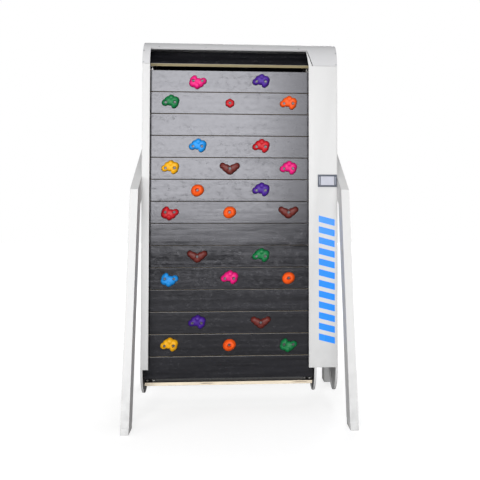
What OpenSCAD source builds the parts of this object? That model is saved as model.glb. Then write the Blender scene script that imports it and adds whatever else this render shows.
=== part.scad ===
// Rotating climbing wall: an endless belt of plywood slats with climbing holds, turning over two
// chain shafts in a tall column, which two side stands hold just clear of the floor.
// X runs across the wall, the climbing face looks along -Y, and Z = 0 is the floor.

/* [Belt] */
// Length of a slat, across the wall
slat_len = 1220; // [1000:10:1400]
// Distance from one slat to the next along the belt
slat_pitch = 160; // [156:1:164]
// Gap between two neighbouring slats
slat_gap = 3; // [3:1:8]
// Thickness of the plywood
slat_t = 25; // [21:1:28]
// Slats along one straight side of the belt
run_count = 14; // [13:1:16]

/* [Column] */
// Height of the bottom shaft above the floor
bottom_axis_z = 293; // [260:1:340]
// Half the depth of the column, and the radius of its round ends
column_r = 205; // [200:1:220]
// Height of the top round end's centre above the top shaft
cap_lift = 20; // [15:1:30]
// Width of the narrow cover at the left of the belt
left_cover_w = 55; // [50:1:80]
// Width of the cover of the drive box at the right of the belt
drive_cover_w = 210; // [200:1:260]
// How far each cover reaches over the slat ends
cover_overlap = 35; // [30:1:40]
// Depth of the folded side panels
panel_d = 16; // [14:1:18]

/* [Stand] */
// Width of the box section of the legs and arms
stand_w = 56; // [40:1:80]
// Depth of that box section
leg_d = 150; // [120:1:160]
// Wall of that box section
stand_wall = 3; // [2:0.5:5]
// Distance of the feet's outer edges from the middle of the column
foot_reach = 757; // [700:1:850]
// Distance of the front knee from the middle of the column
knee_y = 385; // [360:1:420]
// Height of the front knee
knee_z = 1572; // [1540:1:1640]
// Slope of the arm behind the knee
arm_slope = 28; // [24:1:30]
// Height of the foot blocks
foot_h = 43; // [30:1:60]

/* [Touch panel] */
// Width of the touch panel's bezel
touch_w = 140; // [120:1:150]
// Height of the touch panel's bezel
touch_h = 90; // [70:1:100]
// Height of the touch panel's centre above the floor
touch_z = 1643; // [1450:1:1750]

/* [Hidden] */
$fn = 64;
eps = 1;

// Conveyor chain: eight links to a turn, two links to a slat.
teeth = 8;
link = slat_pitch / 2;
half_link_angle = 180 / teeth;
link_angle = 2 * half_link_angle;
chain_r = link / 2 / tan(half_link_angle);
plate_r = 11;
plate_t = 4;
roller_r = 12;
roller_half = 8;
outer_plate_x = 12.5;
pin_r = 6;
pin_half = 18;
short_pin_half = 12;
tab_reach = 30;
tab_half = 15;

// Slats stand off the chain on bent tabs.
slat_standoff = 20.5;
slat_in = chain_r + slat_standoff;
slat_out = slat_in + slat_t;
slat_h = slat_pitch - slat_gap;

shaft_span = (run_count - 0.5) * slat_pitch;
top_axis_z = bottom_axis_z + shaft_span;
cap_axis_z = top_axis_z + cap_lift;
cap_seam_z = cap_axis_z + 13;

// Places across the wall.
column_w = slat_len + left_cover_w + drive_cover_w - 2 * cover_overlap;
column_x = column_w / 2;
stand_x = column_x + stand_w;
belt_x = left_cover_w - cover_overlap + slat_len / 2 - column_x;
slat_x0 = belt_x - slat_len / 2;
slat_x1 = belt_x + slat_len / 2;
chain_inset = 32.5;
left_chain_x = slat_x0 + chain_inset;
right_chain_x = slat_x1 - chain_inset;
end_gap = 4;
left_panel_x = -column_x;
inner_panel_x = slat_x1 + end_gap;
outer_panel_x = column_x - panel_d;
cover_edge_l = left_cover_w - column_x;
cover_edge_r = column_x - drive_cover_w;

// Sheet steel.
sheet = 2.5;
cover_t = 2;
panel_r = column_r - cover_t - 0.2;
bearing_plate_r = 189;
bearing_plate_t = 5;
left_plate_x = left_panel_x + panel_d - bearing_plate_t;
right_plate_x = inner_panel_x + 6.5;
rim_show = 8;
cover_return = 20;
seam = 1;
lip_angle = 43.5;
lip_z = cap_axis_z + column_r * sin(lip_angle);
cut_top_x = cover_edge_r - 10;
cut_foot_x = cover_edge_r + 30;
cheek_gap = 5;

// Shafts and bearings.
shaft_r = 15;
shaft_hole_r = 19;
bearing_bore_r = 15.05;
flange_r = 55;
flange_t = 12;
boss_r = 31;
boss_len = 26;
bearing_bolt_pcr = 43;
top_shaft_end_x = 686;

// Inner frame.
tube = 60;
tube_wall = 4;
tube_zs = [for (i = [0:2]) bottom_axis_z + shaft_span * (0.18 + 0.32 * i)];
rail_w = 14;
rail_out = chain_r - roller_r - 0.5;
rail_in = 60;
rail_end = 150;

// Drive.
drive_plane_x = 673;
sprocket_t = 8;
drive_pitch = 15.875;
big_teeth = 30;
small_teeth = 15;
big_r = drive_pitch / 2 / sin(180 / big_teeth);
small_r = drive_pitch / 2 / sin(180 / small_teeth);
drive_roller_r = 5.1;
drive_plate_half = 7;
motor_z = 1500;
gearbox = 150;
gearbox_x0 = inner_panel_x + panel_d + 4;
gearbox_w = 100;
motor_x = gearbox_x0 + gearbox_w / 2;
motor_r = 49;
motor_fin_h = 5;
motor_len = 230;
brake_len = 70;
motor_shaft_r = 12.5;
bracket_half = 110;
output_collar_r = 22;

// Power inlet, in the back cover of the drive box.
inlet_x = 590;
inlet_z = 360;
inlet_w = 50;
inlet_h = 30;
inlet_flange = 6;
inlet_flange_t = 3;
inlet_body_d = 30;
inlet_well_d = 20;

// Stand geometry in the Y-Z plane, from the foot up over the knee to the rear knee.
lean = knee_y - foot_reach;
leg_rate = -lean / knee_z;
arm_rate = tan(arm_slope);
leg_offset = leg_d * sqrt(1 + leg_rate * leg_rate);
arm_offset = leg_d / cos(arm_slope);
rear_knee_y = (foot_reach - leg_rate * (knee_z + arm_rate * knee_y)) / (1 + leg_rate * arm_rate);
rear_knee_z = knee_z + arm_rate * (rear_knee_y + knee_y);
inner_reach = foot_reach - leg_offset;
under_z = knee_z - arm_offset + arm_rate * knee_y;
front_inner_z = (under_z - arm_rate * inner_reach) / (1 - arm_rate * leg_rate);
front_inner_y = leg_rate * front_inner_z - inner_reach;
rear_inner_z = (under_z + arm_rate * inner_reach) / (1 + arm_rate * leg_rate);
rear_inner_y = inner_reach - leg_rate * rear_inner_z;
beam_z = 420;
beam_y = foot_reach - leg_offset / 2 - leg_rate * beam_z;
beam_d = 60;
beam_h = 100;
tie_w = 50;
tie_h = 60;
stand_bolt_y = 85;
stand_bolt_r = 6;
stand_bolt_dz = 30;
bolt_cap_r = 14;
bolt_cap_t = 3;

touch_x = column_x - 4.5 - touch_w / 2;
touch_t = 6;
touch_body = 34;
touch_lip = 5;
touch_cut_x0 = touch_x - touch_w / 2 + touch_lip;
touch_cut_x1 = outer_panel_x - 4;

// Climbing holds: [row from the top, column, kind, turned upside down].
// Columns run from 0 at the left to 4 at the right. Kinds: 0 lobed, 1 round, 2 vee, 3 small hexagon.
hold_columns = [-432, -234, 0, 228, 430];
LOBED = 0;
ROUND = 1;
VEE = 2;
HEX = 3;
HOLDS = [
    [1, 1, LOBED, 1], [1, 3, LOBED, 0],
    [2, 0, LOBED, 0], [2, 2, HEX, 0], [2, 4, LOBED, 0],
    [4, 1, LOBED, 0], [4, 3, LOBED, 0],
    [5, 0, LOBED, 0], [5, 2, VEE, 0], [5, 4, LOBED, 0],
    [6, 1, ROUND, 0], [6, 3, LOBED, 0],
    [7, 0, LOBED, 1], [7, 2, ROUND, 0], [7, 4, VEE, 0],
    [9, 1, VEE, 0], [9, 3, LOBED, 0],
    [10, 0, LOBED, 1], [10, 2, LOBED, 0], [10, 4, ROUND, 0],
    [12, 1, LOBED, 0], [12, 3, VEE, 0],
    [13, 0, LOBED, 0], [13, 2, ROUND, 0], [13, 4, LOBED, 1]
];
lobed_bolt_x = 32.5;
hold_bolt_r = 5;
hold_bore_r = 5.3;
head_well_r = 11;
head_r = 8;
head_h = 9;
washer_r = 10.5;
washer_t = 2;
seat_h = 16;
hex_seat_h = 10;

// ---------------------------------------------------------------- shared shapes

// Children drawn in X-Y become a Y-Z outline that is extruded along +X from x.
module along_x(x) {
    translate([x, 0, 0]) rotate([90, 0, 90]) children();
}

// Outline of the column: a tall strip with round ends.
module column_outline(r) {
    translate([0, bottom_axis_z]) circle(r);
    translate([0, cap_axis_z]) circle(r);
    translate([-r, bottom_axis_z]) square([2 * r, cap_axis_z - bottom_axis_z]);
}

// Folded panel: a flat skin with a rim all round. open_side is 1 for +X and -1 for -X.
module pan(x, open_side) {
    skin = open_side > 0 ? sheet : -eps;
    difference() {
        along_x(x) linear_extrude(panel_d) column_outline(panel_r);
        along_x(x + skin) linear_extrude(panel_d - sheet + eps) column_outline(panel_r - sheet);
    }
}

module x_rod(x0, x1, r, y = 0, z = 0) {
    translate([x0, y, z]) rotate([0, 90, 0]) cylinder(r = r, h = x1 - x0);
}

module x_bar(x0, x1, y0, y1, z0, z1) {
    translate([x0, y0, z0]) cube([x1 - x0, y1 - y0, z1 - z0]);
}

// Every place where a stand bolts to the column, for one side.
module at_stand_bolts() {
    for (y = [-stand_bolt_y, stand_bolt_y], dz = [-stand_bolt_dz, stand_bolt_dz])
        translate([0, y, arm_middle_z(y) + dz]) children();
}

function arm_middle_z(y) = knee_z + arm_rate * (y + knee_y) - arm_offset / 2;

// ---------------------------------------------------------------- side panels and plates

module left_side_panel() {
    color("whitesmoke") difference() {
        pan(left_panel_x, 1);
        at_stand_bolts() x_rod(left_panel_x - eps, left_panel_x + panel_d, stand_bolt_r + 0.3);
    }
}

module right_inner_panel() {
    color("whitesmoke") difference() {
        pan(inner_panel_x, -1);
        x_rod(inner_panel_x, inner_panel_x + panel_d + eps, shaft_hole_r, 0, top_axis_z);
    }
}

module right_outer_panel() {
    color("whitesmoke") difference() {
        pan(outer_panel_x, -1);
        at_stand_bolts() x_rod(outer_panel_x, column_x + eps, stand_bolt_r + 0.3);
    }
}

module bearing_plate(x) {
    difference() {
        along_x(x) linear_extrude(bearing_plate_t) column_outline(bearing_plate_r);
        for (z = [bottom_axis_z, top_axis_z])
            x_rod(x - eps, x + bearing_plate_t + eps, shaft_hole_r, 0, z);
    }
}

module left_bearing_plate() {
    color("dimgray") difference() {
        bearing_plate(left_plate_x);
        at_stand_bolts() x_rod(left_plate_x - eps, left_plate_x + panel_d, stand_bolt_r + 0.3);
    }
}

module right_bearing_plate() {
    color("dimgray") bearing_plate(right_plate_x);
}

// ---------------------------------------------------------------- covers

// Straight cover strip with its edges turned in, at the front for side = -1 and the back for side = 1.
module cover_strip(x0, x1, side) {
    z0 = bottom_axis_z;
    z1 = cap_seam_z - seam;
    face_y = side < 0 ? -column_r : column_r - cover_t;
    turn_y = side < 0 ? -column_r : column_r - cover_return;
    x_bar(x0, x1, face_y, face_y + cover_t, z0, z1);
    for (x = [x0, x1 - cover_t])
        x_bar(x, x + cover_t, turn_y, turn_y + cover_return, z0, z1);
}

// The strips stop at the panels' rims, which show beside them.
module left_strip(side) {
    difference() {
        cover_strip(-column_x + rim_show, cover_edge_l, side);
        x_bar(-column_x, -column_x + panel_d + 0.2, -panel_r - 0.2, panel_r + 0.2, 0, cap_seam_z);
    }
}

module drive_strip(side) {
    difference() {
        cover_strip(cover_edge_r, column_x - rim_show, side);
        x_bar(outer_panel_x - 0.2, column_x, -panel_r - 0.2, panel_r + 0.2, 0, cap_seam_z);
        x_bar(inner_panel_x - 0.2, inner_panel_x + panel_d + 0.2, -panel_r - 0.2, panel_r + 0.2,
              0, cap_seam_z);
    }
}

module left_front_cover() {
    color("whitesmoke") left_strip(-1);
}

module left_back_cover() {
    color("whitesmoke") left_strip(1);
}

module drive_front_cover() {
    color("whitesmoke") difference() {
        drive_strip(-1);
        x_bar(touch_cut_x0, touch_cut_x1,
              -column_r - eps, -column_r + cover_t + eps,
              touch_z - touch_h / 2 + touch_lip, touch_z + touch_h / 2 - touch_lip);
    }
}

module drive_back_cover() {
    color("whitesmoke") difference() {
        drive_strip(1);
        x_bar(inlet_x - inlet_w / 2, inlet_x + inlet_w / 2, column_r - cover_t - eps, column_r + eps,
              inlet_z - inlet_h / 2, inlet_z + inlet_h / 2);
    }
}

// Thin shell on the cap's axis, over the whole width of the column.
module cap_shell(r, t) {
    along_x(-column_x) linear_extrude(column_w) difference() {
        translate([0, cap_axis_z]) circle(r);
        translate([0, cap_axis_z]) circle(r - t);
        translate([-2 * r, cap_seam_z - 4 * r]) square(4 * r);
    }
}

// Children drawn in X-Z, as a solid through the front half of the cap.
module cap_front() {
    rotate([90, 0, 0]) linear_extrude(column_r + eps) children();
}

// Curved sheet over the top. Its front is cut back to a lip between the covers, where the belt
// shows, and the right end of the cut slants.
module top_cap() {
    color("gainsboro") difference() {
        cap_shell(column_r, cover_t);
        cap_front() polygon([
            [cover_edge_l, cap_seam_z - eps], [cover_edge_l, lip_z], [cut_top_x, lip_z],
            [cut_foot_x, cap_seam_z], [cut_foot_x, cap_seam_z - eps]
        ]);
    }
}

// Curved filler beside the slanted end of the cut, a narrow gap away from it.
module cap_cheek() {
    color("whitesmoke") intersection() {
        cap_shell(column_r - cover_t - 1, cover_t);
        cap_front() polygon([
            [cut_top_x - cheek_gap - 2, lip_z], [cut_top_x - cheek_gap, lip_z],
            [cut_foot_x - cheek_gap, cap_seam_z], [cover_edge_r, cap_seam_z]
        ]);
    }
}

module drive_box_floor() {
    color("dimgray") x_bar(inner_panel_x + panel_d + 1, outer_panel_x - 1,
        -column_r + cover_t + 1, column_r - cover_t - 1, bottom_axis_z + 4, bottom_axis_z + 7);
}

// Button-head screws: over the cap's edges, along its lip, and down the rims of the side panels.
module cover_screws() {
    edge_x = column_x - panel_d / 2;
    lip_xs = [for (i = [0:3]) cover_edge_l + 58 + i * 341];
    lip_in = 4;
    color("silver") {
        for (x = [-edge_x, edge_x], a = [7, 34, 62, 90, 118, 146, 173]) cap_screw(x, a);
        for (x = lip_xs, a = [lip_angle + lip_in, 180 - lip_angle - lip_in]) cap_screw(x, a);
    }
}

module cap_screw(x, a) {
    translate([x, 0, cap_axis_z]) rotate([-a, 0, 0]) translate([0, -column_r, 0])
        rotate([90, 0, 0]) cylinder(r1 = 5, r2 = 3.5, h = 2.5);
}

// ---------------------------------------------------------------- inner frame

module cross_tubes() {
    color("dimgray") for (z = tube_zs) difference() {
        x_bar(left_plate_x + bearing_plate_t, right_plate_x, -tube / 2, tube / 2, z - tube / 2, z + tube / 2);
        x_bar(left_plate_x, right_plate_x + eps, tube_wall - tube / 2, tube / 2 - tube_wall,
              z - tube / 2 + tube_wall, z + tube / 2 - tube_wall);
    }
}

// A front and a back rail, which carry the rollers, on webs that fit round the cross tubes.
module guide_rails(x) {
    web_t = 8;
    web_h = 110;
    for (y = [rail_in, -rail_out])
        x_bar(x - rail_w / 2, x + rail_w / 2, y, y + rail_out - rail_in,
              bottom_axis_z + rail_end, top_axis_z - rail_end);
    for (z = tube_zs) difference() {
        x_bar(x - web_t / 2, x + web_t / 2, -rail_in, rail_in, z - web_h / 2, z + web_h / 2);
        x_bar(x - web_t, x + web_t, -tube / 2, tube / 2, z - tube / 2, z + tube / 2);
    }
}

module left_guide_rails() {
    color("silver") guide_rails(left_chain_x);
}

module right_guide_rails() {
    color("silver") guide_rails(right_chain_x);
}

// Bearing unit with its flange at x and its boss pointing along dir.
module bearing_unit(x, z, dir) {
    translate([x, 0, z]) rotate([0, dir * 90, 0]) difference() {
        union() {
            cylinder(r = flange_r, h = flange_t);
            cylinder(r = boss_r, h = boss_len);
        }
        translate([0, 0, -eps]) cylinder(r = bearing_bore_r, h = boss_len + 2 * eps);
    }
}

module shaft_bearings() {
    color("slategray") for (z = [bottom_axis_z, top_axis_z]) {
        bearing_unit(left_plate_x + bearing_plate_t, z, 1);
        bearing_unit(right_plate_x, z, -1);
    }
}

module bearing_bolts() {
    color("silver") for (z = [bottom_axis_z, top_axis_z], a = [45:90:315]) {
        translate([left_plate_x + bearing_plate_t + flange_t, 0, z]) rotate([a, 0, 0])
            translate([0, 0, bearing_bolt_pcr]) rotate([0, 90, 0]) cylinder(r = 9, h = 7, $fn = 6);
        translate([right_plate_x - flange_t, 0, z]) rotate([a, 0, 0])
            translate([0, 0, bearing_bolt_pcr]) rotate([0, -90, 0]) cylinder(r = 9, h = 7, $fn = 6);
    }
}

// Tension screws above the bottom bearings, each in a welded block.
module take_up_screws() {
    block_t = 20;
    block_h = 18;
    block_z = bottom_axis_z + 120;
    screw_r = 5;
    screw_z = bottom_axis_z + flange_r + 0.5;
    screw_end = 30;
    nut_r = 9;
    nut_h = 8;
    color("silver") for (x = [left_plate_x + bearing_plate_t, right_plate_x - block_t]) {
        x_bar(x, x + block_t, -block_t, block_t, block_z, block_z + block_h);
        translate([x + block_t / 2, 0, screw_z]) cylinder(r = screw_r, h = block_z - screw_z);
        translate([x + block_t / 2, 0, block_z + block_h]) {
            cylinder(r = screw_r, h = screw_end);
            cylinder(r = nut_r, h = nut_h, $fn = 6);
        }
    }
}

// Short struts that carry the right arm's load through the drive box.
module arm_struts() {
    half_d = 30;
    half_h = 55;
    wall = 5;
    x0 = inner_panel_x + panel_d;
    x1 = column_x - sheet;
    color("dimgray") difference() {
        for (y = [-stand_bolt_y, stand_bolt_y])
            x_bar(x0, x1, y - half_d, y + half_d, arm_middle_z(y) - half_h, arm_middle_z(y) + half_h);
        for (y = [-stand_bolt_y, stand_bolt_y])
            x_bar(x0 + wall, x1 - wall, y - half_d + wall, y + half_d - wall,
                  arm_middle_z(y) - half_h - eps, arm_middle_z(y) + half_h - wall);
        at_stand_bolts() x_rod(x1 - wall - eps, x1 + eps, stand_bolt_r + 0.3);
    }
}

// ---------------------------------------------------------------- stands

// Box section between an outer line a-b and an inner line c-d, hollow along its length.
module box_section(x, a, b, c, d) {
    run = b - a;
    u = run / norm(run);
    side = c - a - ((c - a) * u) * u;
    n = side / norm(side) * stand_wall;
    over = u * 20;
    difference() {
        along_x(x) linear_extrude(stand_w) polygon([a, b, d, c]);
        along_x(x + stand_wall) linear_extrude(stand_w - 2 * stand_wall)
            polygon([a + n - over, b + n + over, d - n + over, c - n - over]);
    }
}

function front_outer(z) = [leg_rate * z - foot_reach, z];
function front_inner(z) = [leg_rate * z - inner_reach, z];
function rear_outer(z) = [foot_reach - leg_rate * z, z];
function rear_inner(z) = [inner_reach - leg_rate * z, z];

module front_leg(x) {
    box_section(x, front_outer(foot_h), front_outer(knee_z), front_inner(foot_h), front_inner(front_inner_z));
}

module rear_leg(x) {
    box_section(x, rear_outer(foot_h), rear_outer(rear_knee_z), rear_inner(foot_h), rear_inner(rear_inner_z));
}

module arm(x) {
    difference() {
        box_section(x, front_outer(knee_z), rear_outer(rear_knee_z),
                    front_inner(front_inner_z), rear_inner(rear_inner_z));
        at_stand_bolts() x_rod(x - eps, x + stand_w + eps, stand_bolt_r + 0.3);
    }
}

module left_front_leg() {
    color("whitesmoke") front_leg(-stand_x);
}

module left_arm() {
    color("whitesmoke") arm(-stand_x);
}

module left_rear_leg() {
    color("whitesmoke") rear_leg(-stand_x);
}

module right_front_leg() {
    color("whitesmoke") front_leg(column_x);
}

module right_arm() {
    color("whitesmoke") arm(column_x);
}

module right_rear_leg() {
    color("whitesmoke") rear_leg(column_x);
}

// Solid blocks that close the legs' lower ends, a hair smaller so that a seam shows.
module foot_blocks() {
    inset = 1;
    color("white") for (x = [-stand_x + inset, column_x + inset])
        along_x(x) linear_extrude(stand_w - 2 * inset) {
            polygon([front_outer(0), front_outer(foot_h) + [inset, 0],
                     front_inner(foot_h) - [inset, 0], front_inner(0)]);
            polygon([rear_outer(0), rear_outer(foot_h) - [inset, 0],
                     rear_inner(foot_h) + [inset, 0], rear_inner(0)]);
        }
}

module rear_cross_beam() {
    half_d = beam_d / 2;
    half_h = beam_h / 2;
    in_d = half_d - stand_wall;
    in_h = half_h - stand_wall;
    color("whitesmoke") difference() {
        x_bar(-column_x, column_x, beam_y - half_d, beam_y + half_d, beam_z - half_h, beam_z + half_h);
        x_bar(-column_x - eps, column_x + eps, beam_y - in_d, beam_y + in_d, beam_z - in_h, beam_z + in_h);
    }
}

// Two ties between the column's back and the cross beam, with a bolted plate at the column.
module lower_ties() {
    plate = 8;
    color("whitesmoke") for (x = [-column_x + rim_show + 2, column_x - rim_show - tie_w - 2]) difference() {
        union() {
            x_bar(x, x + tie_w, column_r, beam_y - beam_d / 2, beam_z - tie_h / 2, beam_z + tie_h / 2);
            x_bar(x, x + tie_w, column_r, column_r + plate, beam_z - tie_h, beam_z + tie_h);
        }
        x_bar(x + stand_wall, x + tie_w - stand_wall, column_r + plate, beam_y,
              beam_z - tie_h / 2 + stand_wall, beam_z + tie_h / 2 - stand_wall);
    }
}

// Bolts through each arm into the column, and through the tie plates.
module stand_bolts() {
    left_end = left_plate_x + bearing_plate_t;
    color("silver") {
        at_stand_bolts() {
            x_rod(-stand_x, left_end + bolt_cap_t, stand_bolt_r);
            x_rod(-stand_x - bolt_cap_t, -stand_x, bolt_cap_r);
            x_rod(left_end, left_end + bolt_cap_t, 10);
            x_rod(column_x - 20, stand_x, stand_bolt_r);
            x_rod(stand_x, stand_x + bolt_cap_t, bolt_cap_r);
        }
        for (x = [-column_x + rim_show + 2 + tie_w / 2, column_x - rim_show - 2 - tie_w / 2], dz = [-46, 46])
            translate([x, column_r + 8, beam_z + dz]) rotate([-90, 0, 0]) cylinder(r = 9, h = 7, $fn = 6);
    }
}

// ---------------------------------------------------------------- controls and drive

module touch_panel() {
    front = -column_r - touch_t;
    half_w = touch_w / 2;
    half_h = touch_h / 2;
    screen_share = 0.72;
    body_half_h = half_h - touch_lip - 1;
    color("slategray") difference() {
        union() {
            x_bar(touch_x - half_w, touch_x + half_w, front, -column_r, touch_z - half_h, touch_z + half_h);
            x_bar(touch_cut_x0 + 1, touch_cut_x1 - 1, -column_r, -column_r + touch_body,
                  touch_z - body_half_h, touch_z + body_half_h);
        }
        x_bar(touch_x - half_w * screen_share, touch_x + half_w * screen_share, front - eps, front + 1,
              touch_z - half_h * screen_share, touch_z + half_h * screen_share);
    }
}

// Recessed mains socket with three blades, in the drive box's back cover.
module power_inlet() {
    half_w = inlet_w / 2;
    half_h = inlet_h / 2;
    well_half_w = 13;
    well_half_h = 9;
    blade_pitch = 7;
    color("black") {
        difference() {
            union() {
                x_bar(inlet_x - half_w - inlet_flange, inlet_x + half_w + inlet_flange,
                      column_r, column_r + inlet_flange_t,
                      inlet_z - half_h - inlet_flange, inlet_z + half_h + inlet_flange);
                x_bar(inlet_x - half_w + 1, inlet_x + half_w - 1, column_r - inlet_body_d, column_r,
                      inlet_z - half_h + 1, inlet_z + half_h - 1);
            }
            x_bar(inlet_x - well_half_w, inlet_x + well_half_w,
                  column_r - inlet_well_d, column_r + inlet_flange_t + eps,
                  inlet_z - well_half_h, inlet_z + well_half_h);
        }
        for (i = [-1:1])
            x_bar(inlet_x + i * blade_pitch - 1, inlet_x + i * blade_pitch + 1,
                  column_r - inlet_well_d, column_r - 3, inlet_z - 2, inlet_z + 2);
    }
}

// Motor controller with cooling fins, on the drive side of the inner panel.
module drive_controller() {
    x0 = inner_panel_x + panel_d;
    x1 = x0 + 90;
    half_d = 70;
    z0 = 700;
    z1 = 1000;
    fin_h = 20;
    fin_half = 2;
    color("dimgray") {
        x_bar(x0, x1, -half_d, half_d, z0, z1);
        for (y = [-60:20:60])
            x_bar(x1, x1 + fin_h, y - fin_half, y + fin_half, z0 + fin_h, z1 - fin_h);
    }
}

// Flat plate between the inner panel and the gearbox, bolted at its corners.
module motor_bracket() {
    bolt_in = 15;
    top_z = motor_z + bracket_half - 20;
    bolt_y = bracket_half - bolt_in;
    color("dimgray") difference() {
        x_bar(inner_panel_x + panel_d, gearbox_x0, -bracket_half, bracket_half,
              motor_z - bracket_half, top_z);
        for (y = [-bolt_y, bolt_y], z = [motor_z - bolt_y, top_z - bolt_in])
            x_rod(inner_panel_x, gearbox_x0 + eps, 5.5, y, z);
    }
}

// Right-angle gearbox with its motor hanging below, which has cooling fins and a terminal box.
module gear_motor() {
    half = gearbox / 2;
    motor_z1 = motor_z - half;
    motor_z0 = motor_z1 - motor_len;
    output_flange_r = 40;
    fin_count = 11;
    fin_t = 6;
    fin_pitch = 19;
    terminal_half_w = 35;
    terminal_d = 25;
    color("slategray") difference() {
        union() {
            x_bar(gearbox_x0, gearbox_x0 + gearbox_w, -half, half, motor_z1, motor_z + half);
            x_rod(gearbox_x0, gearbox_x0 + gearbox_w + 4, output_flange_r, 0, motor_z);
            translate([motor_x, 0, motor_z0]) cylinder(r = motor_r - motor_fin_h, h = motor_len + eps);
            for (i = [0:fin_count - 1]) translate([motor_x, 0, motor_z0 + 10 + i * fin_pitch])
                cylinder(r = motor_r, h = fin_t);
            x_bar(motor_x - terminal_half_w, motor_x + terminal_half_w, -motor_r - terminal_d, 0,
                  motor_z1 - 150, motor_z1 - 60);
        }
        x_rod(gearbox_x0 + 30, gearbox_x0 + gearbox_w + 5, motor_shaft_r + 0.05, 0, motor_z);
    }
}

module motor_brake() {
    motor_z0 = motor_z - gearbox / 2 - motor_len;
    color("black") translate([motor_x, 0, motor_z0 - brake_len])
        cylinder(r1 = motor_r - 12, r2 = motor_r - 7, h = brake_len);
}

// Flat chain wheel with a seat for each roller, standing upright at x.
module chain_wheel(x, z, count, pitch_r) {
    translate([x - sprocket_t / 2, 0, z]) rotate([90, 0, 90]) linear_extrude(sprocket_t) difference() {
        circle(pitch_r + 3.5);
        for (i = [0:count - 1]) rotate(i * 360 / count) translate([pitch_r, 0]) circle(drive_roller_r);
    }
}

module motor_sprocket() {
    color("silver") {
        chain_wheel(drive_plane_x, motor_z, small_teeth, small_r);
        x_rod(gearbox_x0 + 40, drive_plane_x + sprocket_t, motor_shaft_r, 0, motor_z);
        x_rod(gearbox_x0 + gearbox_w + 5, drive_plane_x, output_collar_r, 0, motor_z);
    }
}

module drive_sprocket() {
    color("silver") difference() {
        union() {
            chain_wheel(drive_plane_x, top_axis_z, big_teeth, big_r);
            x_rod(drive_plane_x - 24, drive_plane_x, 30, 0, top_axis_z);
        }
        x_rod(drive_plane_x - 30, drive_plane_x + 10, shaft_r + 0.02, 0, top_axis_z);
        for (a = [0:60:300]) translate([0, 0, top_axis_z]) rotate([a, 0, 0])
            x_rod(drive_plane_x - 10, drive_plane_x + 10, 10, 0, 50);
    }
}

// Loop round two circles of radius ra at z = za and rb at z = zb.
module loop_outline(za, ra, zb, rb) {
    s = (rb - ra) / (zb - za);
    c = sqrt(1 - s * s);
    translate([0, za]) circle(ra);
    translate([0, zb]) circle(rb);
    polygon([[-ra * c, za - ra * s], [ra * c, za - ra * s], [rb * c, zb - rb * s], [-rb * c, zb - rb * s]]);
}

// The closed drive chain, as its two rows of link plates beside the sprockets.
module drive_chain() {
    half = 4;
    color("dimgray") for (x = [drive_plane_x - drive_plate_half, drive_plane_x + drive_plate_half - 2])
        along_x(x) linear_extrude(2) difference() {
            loop_outline(motor_z, small_r + half, top_axis_z, big_r + half);
            loop_outline(motor_z, small_r - half, top_axis_z, big_r - half);
        }
}

// ---------------------------------------------------------------- conveyor chains and wheels

// Link plate outline, along Y, centred on the link.
module link_outline() {
    for (s = [-1, 1]) translate([0, s * link / 2]) circle(plate_r);
    translate([-plate_r, -link / 2]) square([2 * plate_r, link]);
}

// A pair of link plates at the front of the loop, x_in from the chain's middle plane.
module link_plates(x, x_in) {
    for (x0 = [x - x_in - plate_t, x + x_in])
        translate([0, -chain_r, 0]) along_x(x0) linear_extrude(plate_t) link_outline();
}

// Outer link: plates with a bent tab on each, which the slat is screwed to.
module outer_link(x) {
    link_plates(x, outer_plate_x);
    for (s = [-1, 1]) {
        web_x = s > 0 ? x + outer_plate_x : x - outer_plate_x - plate_t;
        tab_x = s > 0 ? x + outer_plate_x : x - tab_reach;
        x_bar(web_x, web_x + plate_t, -slat_in, -chain_r, -tab_half, tab_half);
        x_bar(tab_x, tab_x + tab_reach - outer_plate_x, -slat_in, -slat_in + plate_t, -tab_half, tab_half);
    }
}

module chain_pin(x, half) {
    x_rod(x - half, x + half, pin_r, -chain_r, 0);
    x_rod(x - roller_half, x + roller_half, roller_r, -chain_r, 0);
}

// Inner link with a roller on the pin at each end; the pins reach pin_a above and pin_b below.
module inner_link(x, pin_a, pin_b) {
    link_plates(x, roller_half);
    translate([0, 0, link / 2]) chain_pin(x, pin_a);
    translate([0, 0, -link / 2]) chain_pin(x, pin_b);
}

// Straight chain at the front of the loop, from the topmost slat's link down to the lowest one's.
module run_chain(x) {
    for (i = [0:run_count - 1]) translate([0, 0, top_axis_z - link - i * slat_pitch]) outer_link(x);
    for (i = [1:run_count - 1])
        translate([0, 0, top_axis_z - i * slat_pitch]) inner_link(x, pin_half, pin_half);
}

// Places children on the wheel at height z, a degrees below the front.
module on_wheel(z, a) {
    translate([0, 0, z]) rotate([a, 0, 0]) children();
}

module slat_blank() {
    translate([slat_x0, -slat_out, -slat_h / 2]) cube([slat_len, slat_t, slat_h]);
}

module conveyor_sprocket(x, z, hub_dir) {
    tooth_t = 12;
    hub_len = 30;
    hub_r = 34;
    root_r = 82;
    tooth_side = [[70, 26], [84, 23], [97, 16], [106, 8]];
    tooth_back = [for (i = [3:-1:0]) [tooth_side[i][0], -tooth_side[i][1]]];
    window_r = 14;
    window_pcr = 57;
    translate([x, 0, z]) rotate([0, 90, 0]) difference() {
        union() {
            translate([0, 0, -tooth_t / 2]) linear_extrude(tooth_t) {
                circle(root_r);
                for (i = [0:teeth - 1]) rotate(i * link_angle) polygon(concat(tooth_side, tooth_back));
            }
            translate([0, 0, hub_dir > 0 ? 0 : -hub_len]) cylinder(r = hub_r, h = hub_len);
        }
        translate([0, 0, -hub_len - eps]) cylinder(r = shaft_r + 0.02, h = 2 * hub_len + 2 * eps);
        for (a = [half_link_angle:90:360])
            rotate(a) translate([window_pcr, 0, -tooth_t]) cylinder(r = window_r, h = 2 * tooth_t);
    }
}

module top_shaft() {
    color("silver") x_rod(left_plate_x + bearing_plate_t + 2, top_shaft_end_x, shaft_r, 0, top_axis_z);
}

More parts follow.
